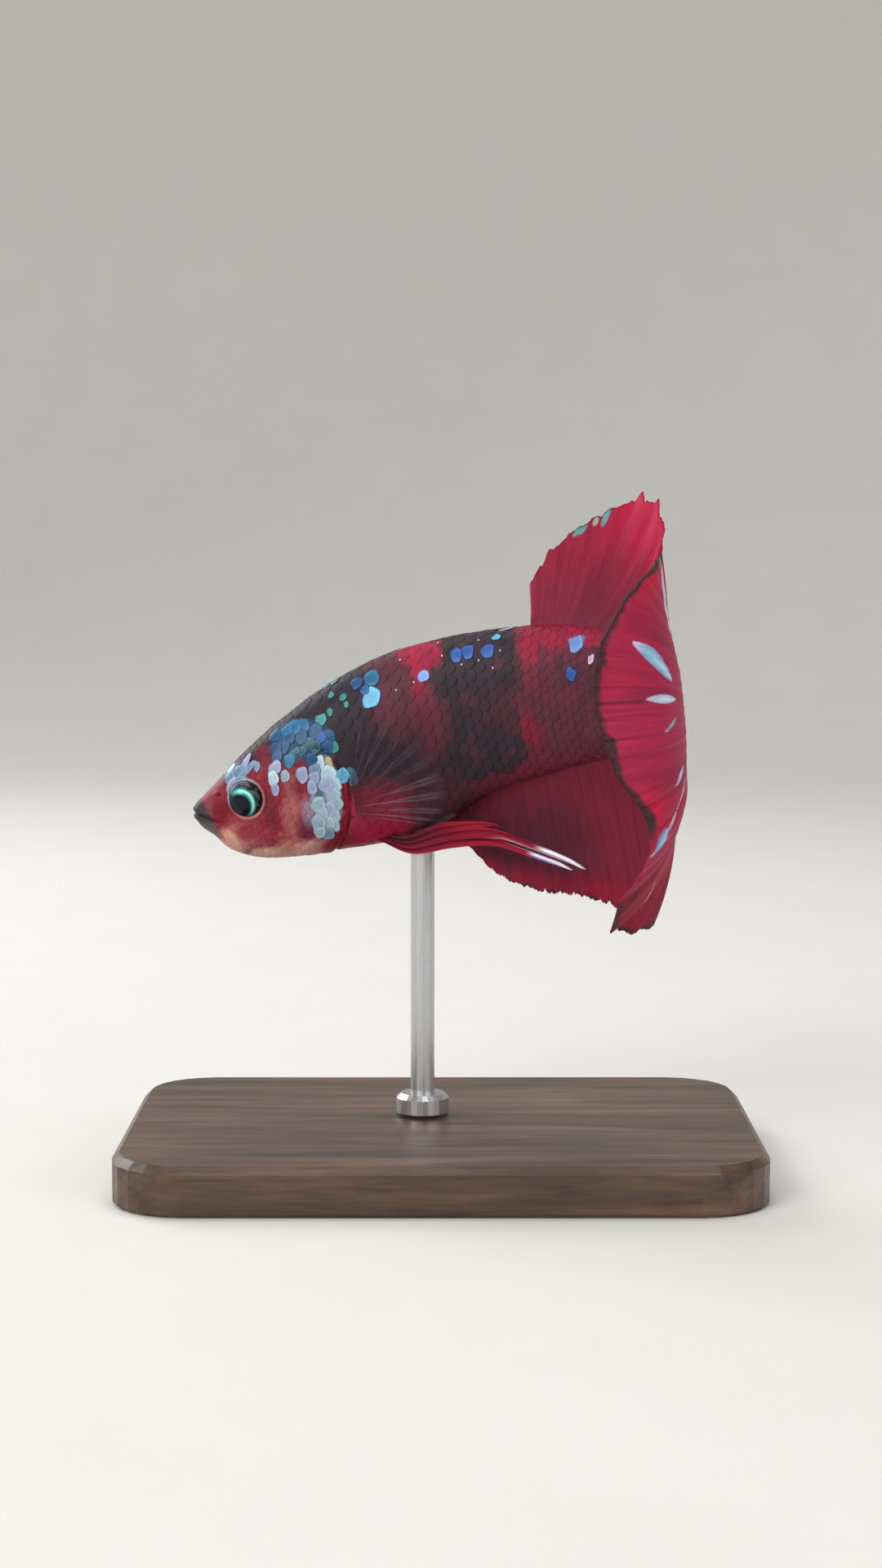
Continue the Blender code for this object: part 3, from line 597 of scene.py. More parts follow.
HEAD_AREAS = (
    (SNOUT_RED, 1.6, -0.8, 0.9, 0.85, -20, 0.3, 0.25, 1.0),
    (SALMON, 3.1, -2.35, 1.7, 0.3, 12, 0.5, 0.4, 0.75),
    (SALMON, 3.3, -3.5, 1.5, 0.9, -35, 0.6, 0.7, 0.5),
    (CHEEK, 3.9, -3.0, 1.5, 0.8, -38, 0.5, 0.5, 0.65),
    ((0.38, 0.115, 0.105), 7.15, -2.7, 0.6, 2.5, -12, 0.55, 0.85, 0.85),
    ((0.6, 0.32, 0.25), 1.95, -3.35, 1.1, 0.45, -68, 0.5, 0.5, 0.9),
    ((0.62, 0.38, 0.31), 3.9, -5.1, 1.6, 0.3, -14, 0.5, 0.5, 0.8),
    ((0.6, 0.33, 0.27), 7.6, -5.5, 1.3, 0.45, 5, 0.5, 0.6, 0.6),
    ((0.19, 0.06, 0.075), 0.95, -0.2, 0.9, 0.35, 70, 0.5, 0.3, 0.6),
    ((0.17, 0.01, 0.026), 6.4, 2.45, 0.75, 0.75, 0, 0.4, 0.3, 0.85),
    (WINE, 5.55, -2.3, 0.55, 1.0, -10, 0.6, 0.5, 0.8),
    (WINE, 5.3, -0.9, 0.6, 0.5, 20, 0.6, 0.5, 0.6),
    (WINE, 8.1, -4.3, 0.8, 0.9, -20, 0.6, 0.5, 0.8),
    (WINE, 8.2, -0.6, 0.6, 0.7, 0, 0.6, 0.5, 0.5),
    ((0.3, 0.2, 0.24), 8.5, -5.6, 0.9, 0.4, 20, 0.6, 0.4, 0.6),
    (LILAC, 8.5, -2.8, 0.4, 1.0, -10, 0.6, 0.4, 0.5),
    ((0.2, 0.29, 0.39), 10.35, -2.1, 1.25, 3.2, -12, 0.12, 0.2, 0.95),
    ((0.03, 0.085, 0.15), 9.6, 2.95, 2.4, 1.55, 0, 0.12, 0.2, 0.95),
    (MIST, 3.6, 1.7, 0.8, 0.8, 20, 0.3, 0.2, 0.9),
    (SLATE, 9.85, -1.55, 0.38, 0.45, 0, 0.35, 0.3, 0.9),
    (GOLD, 11.6, 1.1, 0.5, 0.3, -40, 0.5, 0.3, 0.4),
)


def oval(s, h, s0, h0, long, tall, turn):
    """Distance from the middle of a turned oval, 1 on its edge."""
    a = math.radians(turn)
    ds, dh = s - s0, h - h0
    cos, sin = math.cos(a), math.sin(a)
    return np.hypot((ds * cos + dh * sin) / long, (dh * cos - ds * sin) / tall)


def area_mask(points, s0, h0, long, tall, turn, soft, ragged, seed):
    """1 inside an oval area, 0 outside, with an uneven edge."""
    edge = oval(points[..., 0], points[..., 2], s0, h0, long, tall, turn) + ragged * cloud(points, 1.1, seed)
    return 1.0 - ease(1.0 - soft, 1.0 + soft, edge)


def paint(points, with_marks=True):
    """The fish's colours over (..., 3) fish coordinates. Skin and scales both read them here."""
    colour, lay = painter(points.shape[:-1])
    s, _, h = np.moveaxis(points, -1, 0)
    bottom = body_line(s, BELLY)
    level = (h - bottom) / np.maximum(body_line(s, BACK) - bottom, 0.1)
    mottle, coarse = cloud(points, 0.9, 41), cloud(points, 2.4, 43)
    paint_body(points, lay, level, mottle, coarse)
    paint_head(points, lay, level, mottle, coarse)
    # The single scales, which the skin shows under the coat too.
    for s0, h0, long, tall, turn, tint in MARKS if with_marks else ():
        near = (np.abs(s - s0) < 1.6) & (np.abs(h - h0) < 1.6)
        if near.any():
            mask = np.zeros(s.shape)
            grow = 1.15 if s0 < HEAD_END else 0.85
            mask[near] = area_mask(points[near], s0, h0, grow * long, grow * tall, turn, 0.15, 0.1, 300)
            lay(tint, 0.8 * mask)
    # Painted shade in the eye's socket, round the edge of the eyeball.
    lay((0.015, 0.012, 0.018), ease(1.56, 1.46, eye_place(s, h)))
    return colour


def paint_body(points, lay, level, mottle, coarse):
    s, _, h = np.moveaxis(points, -1, 0)
    lay(CHARCOAL)
    lay(NAPE, ease(0.55, 0.8, level) * ease(18.0, 12.0, s))
    for k, (tint, *area, strength) in enumerate(AREAS):
        lay(tint, strength * area_mask(points, *area, 100 + k))
    streaks = noise(points * np.array([1.0, 1.0, 0.28]), 0.55, 71)
    rear = ease(28.5, 31.0, s) * ease(-3.2, -1.5, h)
    lay((0.06, 0.022, 0.034), 0.75 * rear * ease(0.0, 0.5, streaks) * ease(0.95, 0.75, level))
    mottled = ease(17.0, 20.0, s) * ease(-4.0, -2.0, h)
    lay(MAROON, 0.45 * mottled * ease(0.15, 0.6, mottle + 0.4 * streaks))
    lay(NAPE, 0.4 * mottled * ease(0.2, 0.7, cloud(points, 0.8, 47)))
    # The redder keel, and the scarlet end of the tail stalk.
    below = ease(0.6, -0.6, h - np.interp(s, *KEEL) + 0.5 * mottle) * ease(16.5, 18.0, s)
    lay(BRUISE, below)
    lay((0.165, 0.022, 0.044), 0.9 * below * ease(22.0, 26.0, s + mottle))
    lay((0.3, 0.012, 0.05), ease(41.0, 44.4, s + 0.9 * coarse + 0.6 * mottle))
    lay((0.0, 0.0, 0.0), 0.22 * ease(0.1, 0.7, -streaks) * ease(13.0, 16.0, s))


def paint_head(points, lay, level, mottle, coarse):
    s, _, h = np.moveaxis(points, -1, 0)
    # The head is in front of a line that leans with the gill opening.
    front = ease(12.2, 11.2, s - 0.35 * np.maximum(h, 0.0))
    cheek = front * ease(0.05, -0.05, level - np.interp(s, *CHEEK_TOP) + 0.04 * coarse)
    lay(FOREHEAD, front * ease(10.5, 8.0, s))
    lay((0.13, 0.035, 0.055), front * ease(5.0, 3.0, s))
    lay(CHEEK, cheek)
    lay(SCARLET, cheek * 0.35 * ease(0.1, 0.7, coarse))
    veins = noise(points * np.array([1.0, 1.0, 0.6]), 0.42, 49)
    lay(WINE, cheek * 0.6 * ease(0.0, 0.5, 0.6 * mottle + 0.6 * veins))
    lay(SALMON, cheek * 0.25 * ease(0.1, 0.6, cloud(points, 0.45, 45)) * ease(0.9, 0.6, level))
    lay(SALMON, front * 0.9 * ease(0.22, 0.06, level + 0.1 * mottle) * ease(9.6, 8.0, s))
    lay(SALMON, front * 0.45 * ease(0.58, 0.3, level) * ease(0.15, 0.5, cloud(points, 0.7, 44)))
    lay(CREAM, front * 0.8 * ease(0.17, 0.05, level + 0.05 * mottle) * ease(9.5, 7.5, s))
    for k, (tint, *area, strength) in enumerate(HEAD_AREAS):
        lay(tint, strength * area_mask(points, *area, 200 + k))
    lay(CHARCOAL, 0.7 * area_mask(points, 2.95, -4.75, 0.45, 0.26, 15, 0.4, 0.2, 250))
    # The gill cover's flap, and the shade in the slit behind it.
    across, edge = gill_place(s, h)
    flap = ease(0.99, 1.02, edge) * ease(1.27, 1.22, edge) * ease(0.1, 0.5, across)
    lay((0.235, 0.004, 0.02), flap * ease(0.2, -1.2, h))
    slit = bell(edge, GILL_SLIT + FLAP_DEPTH * ease(0.4, -1.4, h), 0.03)
    lay((0.02, 0.008, 0.012), 0.8 * ease(0.1, 0.4, across) * slit)
    side, along = mouth_place(s, h)
    lips = ease(0.18, -0.18, s - np.interp(h, *LIP_EDGE) + 0.1 * mottle)
    lay(LIP, lips)
    lay(LOWER_LIP, 0.85 * lips * ease(0.1, -0.5, side) * ease(-1.0, -2.2, h))
    lay((0.012, 0.006, 0.008), ease(1.1, 0.9, along) * bell(side, 0.0, 0.05))
    # Painted shade in the nostril's pit.
    lay((0.02, 0.01, 0.012), bell(nostril_place(s, h), 0.0, 0.11))


# ---------------------------------------------------------------- materials


class Look:
    """A material built a node at a time round its Principled shader."""

    def __init__(self, name, roughness, specular=0.2, **fixed):
        self.material = bpy.data.materials.new(name)
        self.material.use_nodes = True
        self.tree = self.material.node_tree
        self.shader = self.tree.nodes["Principled BSDF"]
        self.join(self.shader, Roughness=roughness, Specular_IOR_Level=specular, **fixed)

    def join(self, node, **inputs):
        """Sets a node's inputs, or links them where a value is another node's output."""
        for key, value in inputs.items():
            socket = node.inputs[key.replace("_", " ")]
            if isinstance(value, bpy.types.NodeSocket):
                self.tree.links.new(value, socket)
            else:
                socket.default_value = value
        return node

    def node(self, kind, **inputs):
        return self.join(self.tree.nodes.new("ShaderNode" + kind), **inputs)

    def read(self, field, output="Vector"):
        made = self.node("Attribute")
        made.attribute_name = field
        return made.outputs[output]

    def noise(self, vector, scale, detail=3.0, roughness=0.55, distortion=0.0):
        return self.node("TexNoise", Vector=vector, Scale=scale, Detail=detail, Roughness=roughness,
                         Distortion=distortion).outputs["Fac"]

    def spread(self, value, low, high, from_low=0.3, from_high=0.7):
        """A value from a noise carried to another range."""
        return self.node("MapRange", Value=value, From_Min=from_low, From_Max=from_high, To_Min=low,
                         To_Max=high).outputs["Result"]

    def times(self, colour, factor):
        made = self.node("VectorMath")
        made.operation = "SCALE"
        self.tree.links.new(colour, made.inputs[0])
        return self.join(made, Scale=factor).outputs["Vector"]

    def ramp(self, value, *stops):
        """A value carried to a run of colours, each with its place from 0 to 1."""
        made = self.node("ValToRGB", Fac=value)
        elements = made.color_ramp.elements
        while len(elements) < len(stops):
            elements.new(0.5)
        for element, (place, colour) in zip(elements, stops):
            element.position = place
            element.color = (*colour, 1.0)
        return made.outputs["Color"]

    def stretched(self, *scale):
        """The piece's own coordinates, drawn out along its grain."""
        place = self.node("TexCoord").outputs["Object"]
        return self.node("Mapping", Vector=place, Scale=scale).outputs["Vector"]

    def painted(self, value, low, high):
        """The colours painted on the piece, made uneven by a noise."""
        self.coloured(self.times(self.read("tint", "Color"), self.spread(value, low, high)))

    def coloured(self, colour):
        self.join(self.shader, Base_Color=colour)

    def rough(self, value, low, high):
        self.join(self.shader, Roughness=self.spread(value, low, high))

    def raised(self, height, strength, distance):
        made = self.node("Bump", Height=height, Strength=strength, Distance=distance)
        self.join(self.shader, Normal=made.outputs["Normal"])


def skin_material():
    look = Look("fish_skin", 0.48)
    fine = look.noise(look.read("lie"), 16.0)
    look.painted(look.noise(look.read("lie"), 5.0), 0.82, 1.16)
    look.rough(fine, 0.38, 0.56)
    look.raised(fine, 0.35, 0.00004)
    return look.material


def scale_material(name, roughness, coat):
    """A scale's painted colour, with the fine rings that it grew by."""
    look = Look(name, roughness, Coat_Weight=coat, Coat_Roughness=0.2)
    rings = look.node("TexWave", Vector=look.read("growth"), Scale=2.2, Distortion=1.2, Detail_Scale=3.0)
    rings.wave_type = "RINGS"
    rings.rings_direction = "SPHERICAL"
    speckle = look.noise(look.read("lie"), 7.0)
    look.painted(speckle, 0.85, 1.15)
    look.rough(speckle, roughness - 0.06, roughness + 0.08)
    look.raised(rings.outputs["Fac"], 0.1, 0.00003)
    return look.material


def fin_look(name, roughness):
    look = Look(name, roughness)
    streaks = look.noise(look.read("lie"), 1.0, 4.0)
    look.painted(streaks, 0.84, 1.16)
    look.rough(streaks, roughness - 0.07, roughness + 0.08)
    look.raised(streaks, 0.3, 0.00005)
    return look


def veil_material():
    """The chest fins: a clear membrane whose rays show more than what is between them."""
    look = fin_look("clear_fin", 0.4)
    look.join(look.shader, Alpha=look.read("veil", "Fac"))
    return look.material


def eye_material():
    look = Look("fish_eye", 0.22, 0.15, Coat_Weight=0.16, Coat_Roughness=0.06)
    fibres = look.noise(look.read("lie"), 6.0, 4.0)
    look.painted(fibres, 0.8, 1.2)
    look.rough(fibres, 0.16, 0.3)
    return look.material


def wood_material():
    look = Look("walnut", 0.4, 0.5, Coat_Weight=0.15, Coat_Roughness=0.3)
    length = look.stretched(0.1, 1.0, 1.0)
    grain, pores = look.noise(length, 420.0, 6.0, 0.6, 0.5), look.noise(length, 2600.0, 2.0)
    wood = look.ramp(grain, (0.3, (0.03, 0.014, 0.008)), (0.5, (0.075, 0.036, 0.018)),
                     (0.72, (0.145, 0.072, 0.036)))
    look.coloured(look.times(wood, look.spread(pores, 0.7, 1.1, 0.3, 0.6)))
    look.rough(grain, 0.48, 0.34)
    look.raised(pores, 0.25, 0.00006)
    return look.material


def steel_material():
    look = Look("brushed_steel", 0.3, 0.5, Metallic=1.0)
    brushed = look.noise(look.stretched(1.0, 1.0, 0.06), 6000.0, 3.0)
    look.coloured(look.ramp(brushed, (0.0, (0.42, 0.43, 0.45)), (1.0, (0.66, 0.67, 0.69))))
    look.rough(brushed, 0.24, 0.4)
    look.raised(brushed, 0.15, 0.00002)
    return look.material


def cloudy_material(name, roughness, scale, dark, pale):
    """A plain stuff that is barely uneven: the silicone cup under the belly, and the floor."""
    look = Look(name, roughness)
    haze = look.noise(look.node("TexCoord").outputs["Object"], scale)
    look.coloured(look.ramp(haze, (0.0, dark), (1.0, pale)))
    return look.material


# ---------------------------------------------------------------- the skin


def bake_place(angle, s):
    """Where a point of the skin is on its unwrap: turns of the section angle, and its share of the length."""
    return angle / (2 * math.pi), s / BAKE_LENGTH + BAKE_START


def make_skin(material):
    """The closed skin, from the tip of the snout to a flat end inside the tail fin's root."""
    place, fish = SKIN["world"], SKIN["shaped"]
    end = len(fish)
    tail_end = fish[-1].mean(0)

    def spot(i, j, _row):
        angle = 2 * math.pi * j / SKIN_SIDES
        return bake_place(angle, fish[i, 0, 0]) if i < end else (j / SKIN_SIDES, 0.995)

    lie = np.vstack([fish[0, :1], fish[1:].reshape(-1, 3), tail_end])
    points = np.vstack([place[0, :1], place[1:].reshape(-1, 3), bend(tail_end)])
    faces, uv = round_net(end + 1, SKIN_SIDES, spot)
    return add_piece("body_skin", points, faces, material, uv, paint(lie), lie=lie)


# ---------------------------------------------------------------- scales


def scale_template(sectors, radii):
    """A closed thin shield: its points' (x, y) from -1 to 1, ring 0 to 1 and 1 on the underside."""
    angle = np.linspace(0.0, 2 * math.pi, sectors, endpoint=False)
    rings = [stacked(radius * np.cos(angle), radius * np.sin(angle), radius, under)
             for radius, under in [(radius, 0.0) for radius in radii] + [(1.0, 1.0)]]
    spots = np.vstack([(0.0, 0.0, 0.0, 0.0), *rings, (0.0, 0.0, 0.0, 1.0)])
    faces = []
    for face in round_net(len(rings) + 2, sectors)[0]:
        faces.append(face[:3])
        if len(face) == 4:
            faces.append([face[0], *face[2:]])
    return spots, np.array(faces)


def lay_scales(name, rows, side, material, template, jitter=0.0, tint_blend=0.0):
    """One joined mesh of scales. Rows hold s, distance down the flank, half length, half width,
    turn, how far the front and the rear edge stand off the skin, thickness, and for the bright
    scales their tint and how squarely they are cut."""
    spots, faces = template
    x, y, ring, under = spots.T
    around = np.arctan2(y, x)
    parts = []
    rng = np.random.default_rng(7)
    for s0, down, long, wide, turn, front, rear, thick, tint, cut in rows:
        a = math.radians(turn)
        # The rear is rounded and the front is squarer, as a shield is.
        shape_y = y * (1.0 - 0.18 * cut * np.clip(x, 0, 1) ** 2)
        dx, dy = x * long, shape_y * wide
        if tint is not None:
            # The marked scales are cut more squarely, or to a point, and a little unevenly.
            reach = (np.abs(np.cos(around)) ** cut + np.abs(np.sin(around)) ** cut) ** (-1 / cut)
            reach = reach * (1 + 0.06 * np.sin(3 * around + 7 * s0) + 0.04 * np.sin(5 * around + 11 * s0))
            dx, dy = x * reach * long, y * reach * wide
        angle = arc_angle(nearest_ring(s0), down - (dx * math.sin(a) + dy * math.cos(a)))
        if side < 0:
            angle = math.pi - angle
        rings = ring_at(s0 + dx * math.cos(a) - dy * math.sin(a))
        fish = read_skin("shaped", rings, angle)
        lift = front + (rear - front) * (x + 1) / 2 + thick * (0.6 - 0.6 * ring**2 - under)
        place = read_skin("world", rings, angle) + unit(read_skin("normal", rings, angle)) * lift[:, None]
        if tint is None:
            root_tint = skin_tint(fish[:1] + jitter * rng.normal(0.0, 1.0, 3))[0]
            tint = lerp(skin_tint(fish), root_tint, tint_blend)
            shade = 1.0 + 0.08 * rng.uniform(-1, 1) - 0.07 * ease(0.72, 1.0, ring) * (x > -0.2)
        else:
            shade = 0.85 + 0.12 * rng.uniform(-1, 1) + 0.3 * ease(0.45, 0.85, ring) * (x > -0.5)
            shade = shade - (0.6 if max(tint) < 0.5 else 0.38) * ease(0.88, 1.0, ring)
        growth = stacked(dx + long, dy, rng.uniform(0, 3))
        patch = np.array(bake_place(angle[0] % (2 * math.pi), s0))
        patch = patch + SCALE_PATCH * np.stack([shape_y, x], 1) * (1 - 0.3 * under)[:, None]
        parts.append((place, np.array(tint) * shade[:, None], fish, growth, patch[faces.ravel()]))
    place, tint, lie, growth, uv = (np.vstack(part) for part in zip(*parts))
    joined = (faces[None] + (np.arange(len(parts)) * len(spots))[:, None, None]).reshape(-1, 3)
    return add_piece(name, place, joined.tolist(), material, uv, tint, lie=lie, growth=growth)


SKIN["tint"] = paint(SKIN["shaped"], False)


def skin_tint(fish):
    """Colours read off the skin's own painted grid, without the bright marks."""
    s, u, h = fish.T
    ring = ring_at(s)
    i = np.clip(np.round(ring).astype(int), 0, len(SKIN["s"]) - 1)
    top, bottom, half = SKIN["top"][i], SKIN["bottom"][i], np.maximum(SKIN["half"][i], 0.05)
    sin = signed_power((h - (top + bottom) / 2) / ((top - bottom) / 2), roundness(s) / 2)
    return read_skin("tint", ring, np.arctan2(sin, signed_power(u / half, roundness(s) / 2)))


def inside_mark(s, h):
    return any(oval(s, h, *mark[:5]) ** 2 < 0.7 for mark in MARKS)


def height_at(s, down):
    ring = nearest_ring(s)
    return float(read_skin("shaped", np.array([float(ring)]), arc_angle(ring, np.array([down])))[0, 2])


def scale_rows(start, stop, rows, pace, keep, half, *stand):
    """Scales in staggered columns from the head back, each overlapping the next."""
    placed = []
    s, column = start, 0
    while s < stop:
        around = float(half_perimeter(s))
        row = around / rows
        step = pace * row
        for k in range(rows + 1):
            down = (k + 0.5 * (column % 2)) * row
            if down > around:
                continue
            h = height_at(s, down)
            if keep(s, h) and not inside_mark(s, h):
                placed.append((s, down, half * step, 0.58 * row, 0.0, *stand, None, 1.0))
        s += step
        column += 1
    return placed


def on_face(s, h):
    across, edge = gill_place(s, h)
    if eye_place(s, h) < 1.95 or s < 2.3 + 0.3 * math.cos(h):
        return False
    return s < 11.4 - 0.25 * max(h - 3.0, 0.0) and (edge < 0.96 or across < 0.0 or h > 1.6)


def on_flank(s, h):
    if h > 1.6:
        return s > 11.4 - 0.25 * max(h - 3.0, 0.0)
    return s > 10.8 and gill_place(s, h)[1] > 1.3


def make_scales(fine, bright):
    """The body's and the face's scales, and the bright ones, on each side."""
    body = scale_rows(10.8, 45.1, BODY_ROWS, 0.8, on_flank, 0.98, -0.038, 0.025, 0.017)
    face = scale_rows(2.3, 11.9, HEAD_ROWS, 0.86, on_face, 0.95, -0.03, 0.02, 0.022)
    marks = []
    for s, h, long, tall, turn, tint in MARKS:
        grow = 1.3 if s < HEAD_END else 1.05
        cut = 1.15 if s > 33.0 else 2.5
        marks.append((s, height_distance(s, h), grow * long, grow * tall, turn, 0.03, 0.09, 0.03, tint, cut))
    specks = [(s, height_distance(s, h), 0.08, 0.08, 0, 0.05, 0.08, 0.03, SPECK, 2.0) for s, h in SPECKS]
    for side, word in ((1, "left"), (-1, "right")):
        if side < 0:
            # The left side's rows already hold the scales astride the back and the keel.
            body, face = ([row for row in rows if 0.05 < row[1] < half_perimeter(row[0]) - 0.05]
                          for rows in (body, face))
            marks = [row for row in marks if row[1] > 0.9 * row[3]]
        shield, small = scale_template(16, (0.5, 0.84, 1.0)), scale_template(14, (0.55, 0.86, 1.0))
        yield lay_scales("scales_body_" + word, body, side, fine, shield, 0.25, 0.5)
        yield lay_scales("scales_head_" + word, face, side, fine, small, 0.05, 0.25)
        yield lay_scales("scales_bright_" + word, marks + specks, side, bright,
                         scale_template(22, (0.4, 0.7, 0.88, 1.0)))


# ---------------------------------------------------------------- eyes


def make_eye(side, word, material):
    """An eyeball: a glossy dome over the pupil and iris, with a dark surround, closed behind."""
    sectors, rings = 72, 40
    angle = np.linspace(0.0, 2 * math.pi, sectors, endpoint=False)
    turn = np.linspace(0.0, math.pi, rings)
    radius = EYE_RADIUS * np.sin(turn)
    # The clear window bulges, and a shallow groove runs round it.
    dome = 0.1 * np.clip(1.0 - (radius / 1.28) ** 2, 0.0, 1.0) - 0.03 * bell(radius, 1.3, 0.06)
    depth = EYE_DEPTH * np.cos(turn) + np.where(turn < math.pi / 2, dome, 0.0)
    across, up = radius[:, None] * np.cos(angle), radius[:, None] * np.sin(angle)
    ball = stacked(EYE_NARROW * across, depth[:, None], up)
    ball = np.vstack([ball[0, :1], ball[1:-1].reshape(-1, 3), ball[-1, :1]])
    x, deep, y = ball.T
    pupil = np.hypot((x + 0.64) / 0.81, (y + 0.46) / 0.98)
    iris = np.hypot((x + 0.5) / 1.06, (y + 0.29) / 1.24)
    out = np.hypot(x / EYE_NARROW, y)
    bearing = np.arctan2(y + 0.29, x + 0.5)
    # The light on the iris is painted: the iris is dark, painted in shade, except for a crescent towards the
    # upper right that is painted lit.
    toward_light = 0.5 + 0.5 * np.cos(bearing - math.radians(18))
    lit_crescent = ease(0.3, 0.75, toward_light)
    colour, lay = painter(x.shape)
    lay((0.018, 0.016, 0.024))
    # A painted grey-green sheen, broken into specks, on the dark surround on the side towards the light.
    specks = ease(-0.2, 0.5, noise(stacked(bearing * 6, out * 9, side), 1.0, 91))
    lay((0.08, 0.15, 0.13), 0.8 * ease(1.0, 1.1, iris) * ease(1.48, 1.36, out) * toward_light**2 * specks)
    # A painted highlight along the top of the dark surround.
    lay((0.17, 0.2, 0.24), 0.7 * bell(out, 1.42, 0.07) * ease(0.3, 0.9, np.sin(bearing)))
    # The iris, dark where it is painted in shade, with its painted lit crescent, a painted highlight near the
    # crescent's outer edge and a painted lit edge round the pupil on that side.
    lay((0.01, 0.03, 0.06), ease(1.03, 0.97, iris))
    lay((0.02, 0.3, 0.33), lit_crescent * ease(1.03, 0.98, iris))
    lay((0.11, 0.76, 0.54), lit_crescent * bell(iris, 0.89, 0.13))
    lay((0.6, 0.98, 0.8), 0.9 * ease(0.55, 0.9, toward_light) * bell(iris, 0.9, 0.065))
    lay((0.01, 0.09, 0.2), 0.9 * ease(0.35, 0.6, toward_light) * bell(pupil, 1.04, 0.06))
    lay((0.003, 0.005, 0.009), ease(1.06, 0.97, pupil))
    lay((0.02, 0.015, 0.02), 1.0 * (deep < 0))

    def spot(i, j, row):
        """The front is one round island of the bake map, and the back is another."""
        behind = 2 * turn[i] / math.pi - 1.0
        reach = 0.24 * (math.sin(turn[i]) if behind < 0 else 1.0 - 0.98 * behind)
        middle = 0.25 if row < rings // 2 - 1 else 0.75
        way = 2 * math.pi * j / sectors
        return middle + reach * math.cos(way), 0.5 + reach * math.sin(way)

    fish = (np.array(EYE_AT) + ball) * (1.0, side, 1.0)
    faces, uv = round_net(rings, sectors, spot)
    radial = stacked(bearing * 3.0, iris * 0.5, float(side))
    return add_piece("eye_" + word + "_ball", bend(fish), faces, material, uv, colour, lie=radial)


def make_lid(side, word, material):
    """The rounded rim of skin that holds the eye."""
    sectors, rows = 120, len(LID_PROFILE)
    angle = np.linspace(0.0, 2 * math.pi, sectors, endpoint=False)
    radius, lift = np.array(LID_PROFILE).T[..., None]
    s = EYE_AT[0] + EYE_NARROW * radius * np.cos(angle)
    h = EYE_AT[2] + radius * np.sin(angle)
    top, bottom, half = (np.interp(s, SKIN["s"], SKIN[key]) for key in ("top", "bottom", "half"))
    high = np.abs((h - (top + bottom) / 2) / ((top - bottom) / 2))
    out = half * np.clip(1.0 - high ** roundness(s), 0.0, 1.0) ** (1 / roundness(s)) - COAT
    fish = stacked(s, side * (out + lift), h)
    # The skin's colour just outside the rim, a pale pink edge on the lower side, a painted highlight along
    # the top and a dark inner wall, which is painted shade down in the socket.
    colour, lay = painter(s.shape)
    beside = stacked(EYE_AT[0] + EYE_NARROW * 1.9 * np.cos(angle), 0.0, EYE_AT[2] + 1.9 * np.sin(angle))
    colour[:] = paint(beside)
    rim = bell(radius, 1.58, 0.08)
    lay((0.5, 0.24, 0.24), 0.75 * rim * ease(0.45, -0.35, np.sin(angle - 0.5)))
    # Painted highlight along the top of the rim.
    lay((0.46, 0.56, 0.7), 0.85 * rim * ease(-0.1, 0.6, np.sin(angle - 0.35)))
    # Painted shade on the inner wall, down in the socket.
    lay((0.012, 0.01, 0.014), ease(1.49, 1.43, radius))
    faces, uv = [], []
    for i in range(rows):
        for j in range(sectors):
            ring = ((i, j), (i, j + 1), (i + 1, j + 1), (i + 1, j))
            faces.append([(a % rows) * sectors + b % sectors for a, b in ring])
            uv += [(b / sectors, 0.05 + 0.9 * a / rows) for a, b in ring]
    fish = fish.reshape(-1, 3)
    return add_piece("eye_" + word + "_lid", bend(fish), faces, material, uv, colour, lie=fish)


# ---------------------------------------------------------------- fins


def ray_shape(t, v, rays, split=(0.35, 0.7)):
    """Height of the rays over a fin: each one forks twice on its way to the margin."""
    off = t * (rays - 1) - np.round(t * (rays - 1))
    fork = 0.13 * ease(split[0], split[0] + 0.25, v)
    twig = 0.065 * ease(split[1], split[1] + 0.2, v)
    twigs = [first * fork + second * twig for first in (-1, 1) for second in (-1, 1)]
    return np.max([bell(off, twig_at, 0.085 - 0.045 * v) for twig_at in twigs], 0)


def on_rays(t, rays):
    """1 on a ray and 0 midway to the next."""
    return np.abs(np.cos(math.pi * t * (rays - 1))) ** 0.8


def along_margin(t, count, seed, place=0.0):
    """Noise that changes along the margin only, with about the given number of rises."""
    return noise(stacked(t * count, 0.0, place), 1.0, seed)


def torn(t, rays, notch, fray, count, seed):
    """How far the margin falls short, notched between the rays and frayed."""
    return -notch * (1.0 - on_rays(t, rays)) - np.abs(fray * along_margin(t, count, seed))


def stood_fin(t, v, base, line, sink, margin, reach):
    """A fin on the middle line of the back or the keel, and how far along its rays each point is."""
    s = lerp(*base, t)
    root = stacked(s, 0.0, body_line(s, line) + sink)
    edge = curve_through(margin, t)
    along = v * reach
    return root + along[..., None] * (stacked(edge[..., 0], 0.0, edge[..., 1]) - root), along


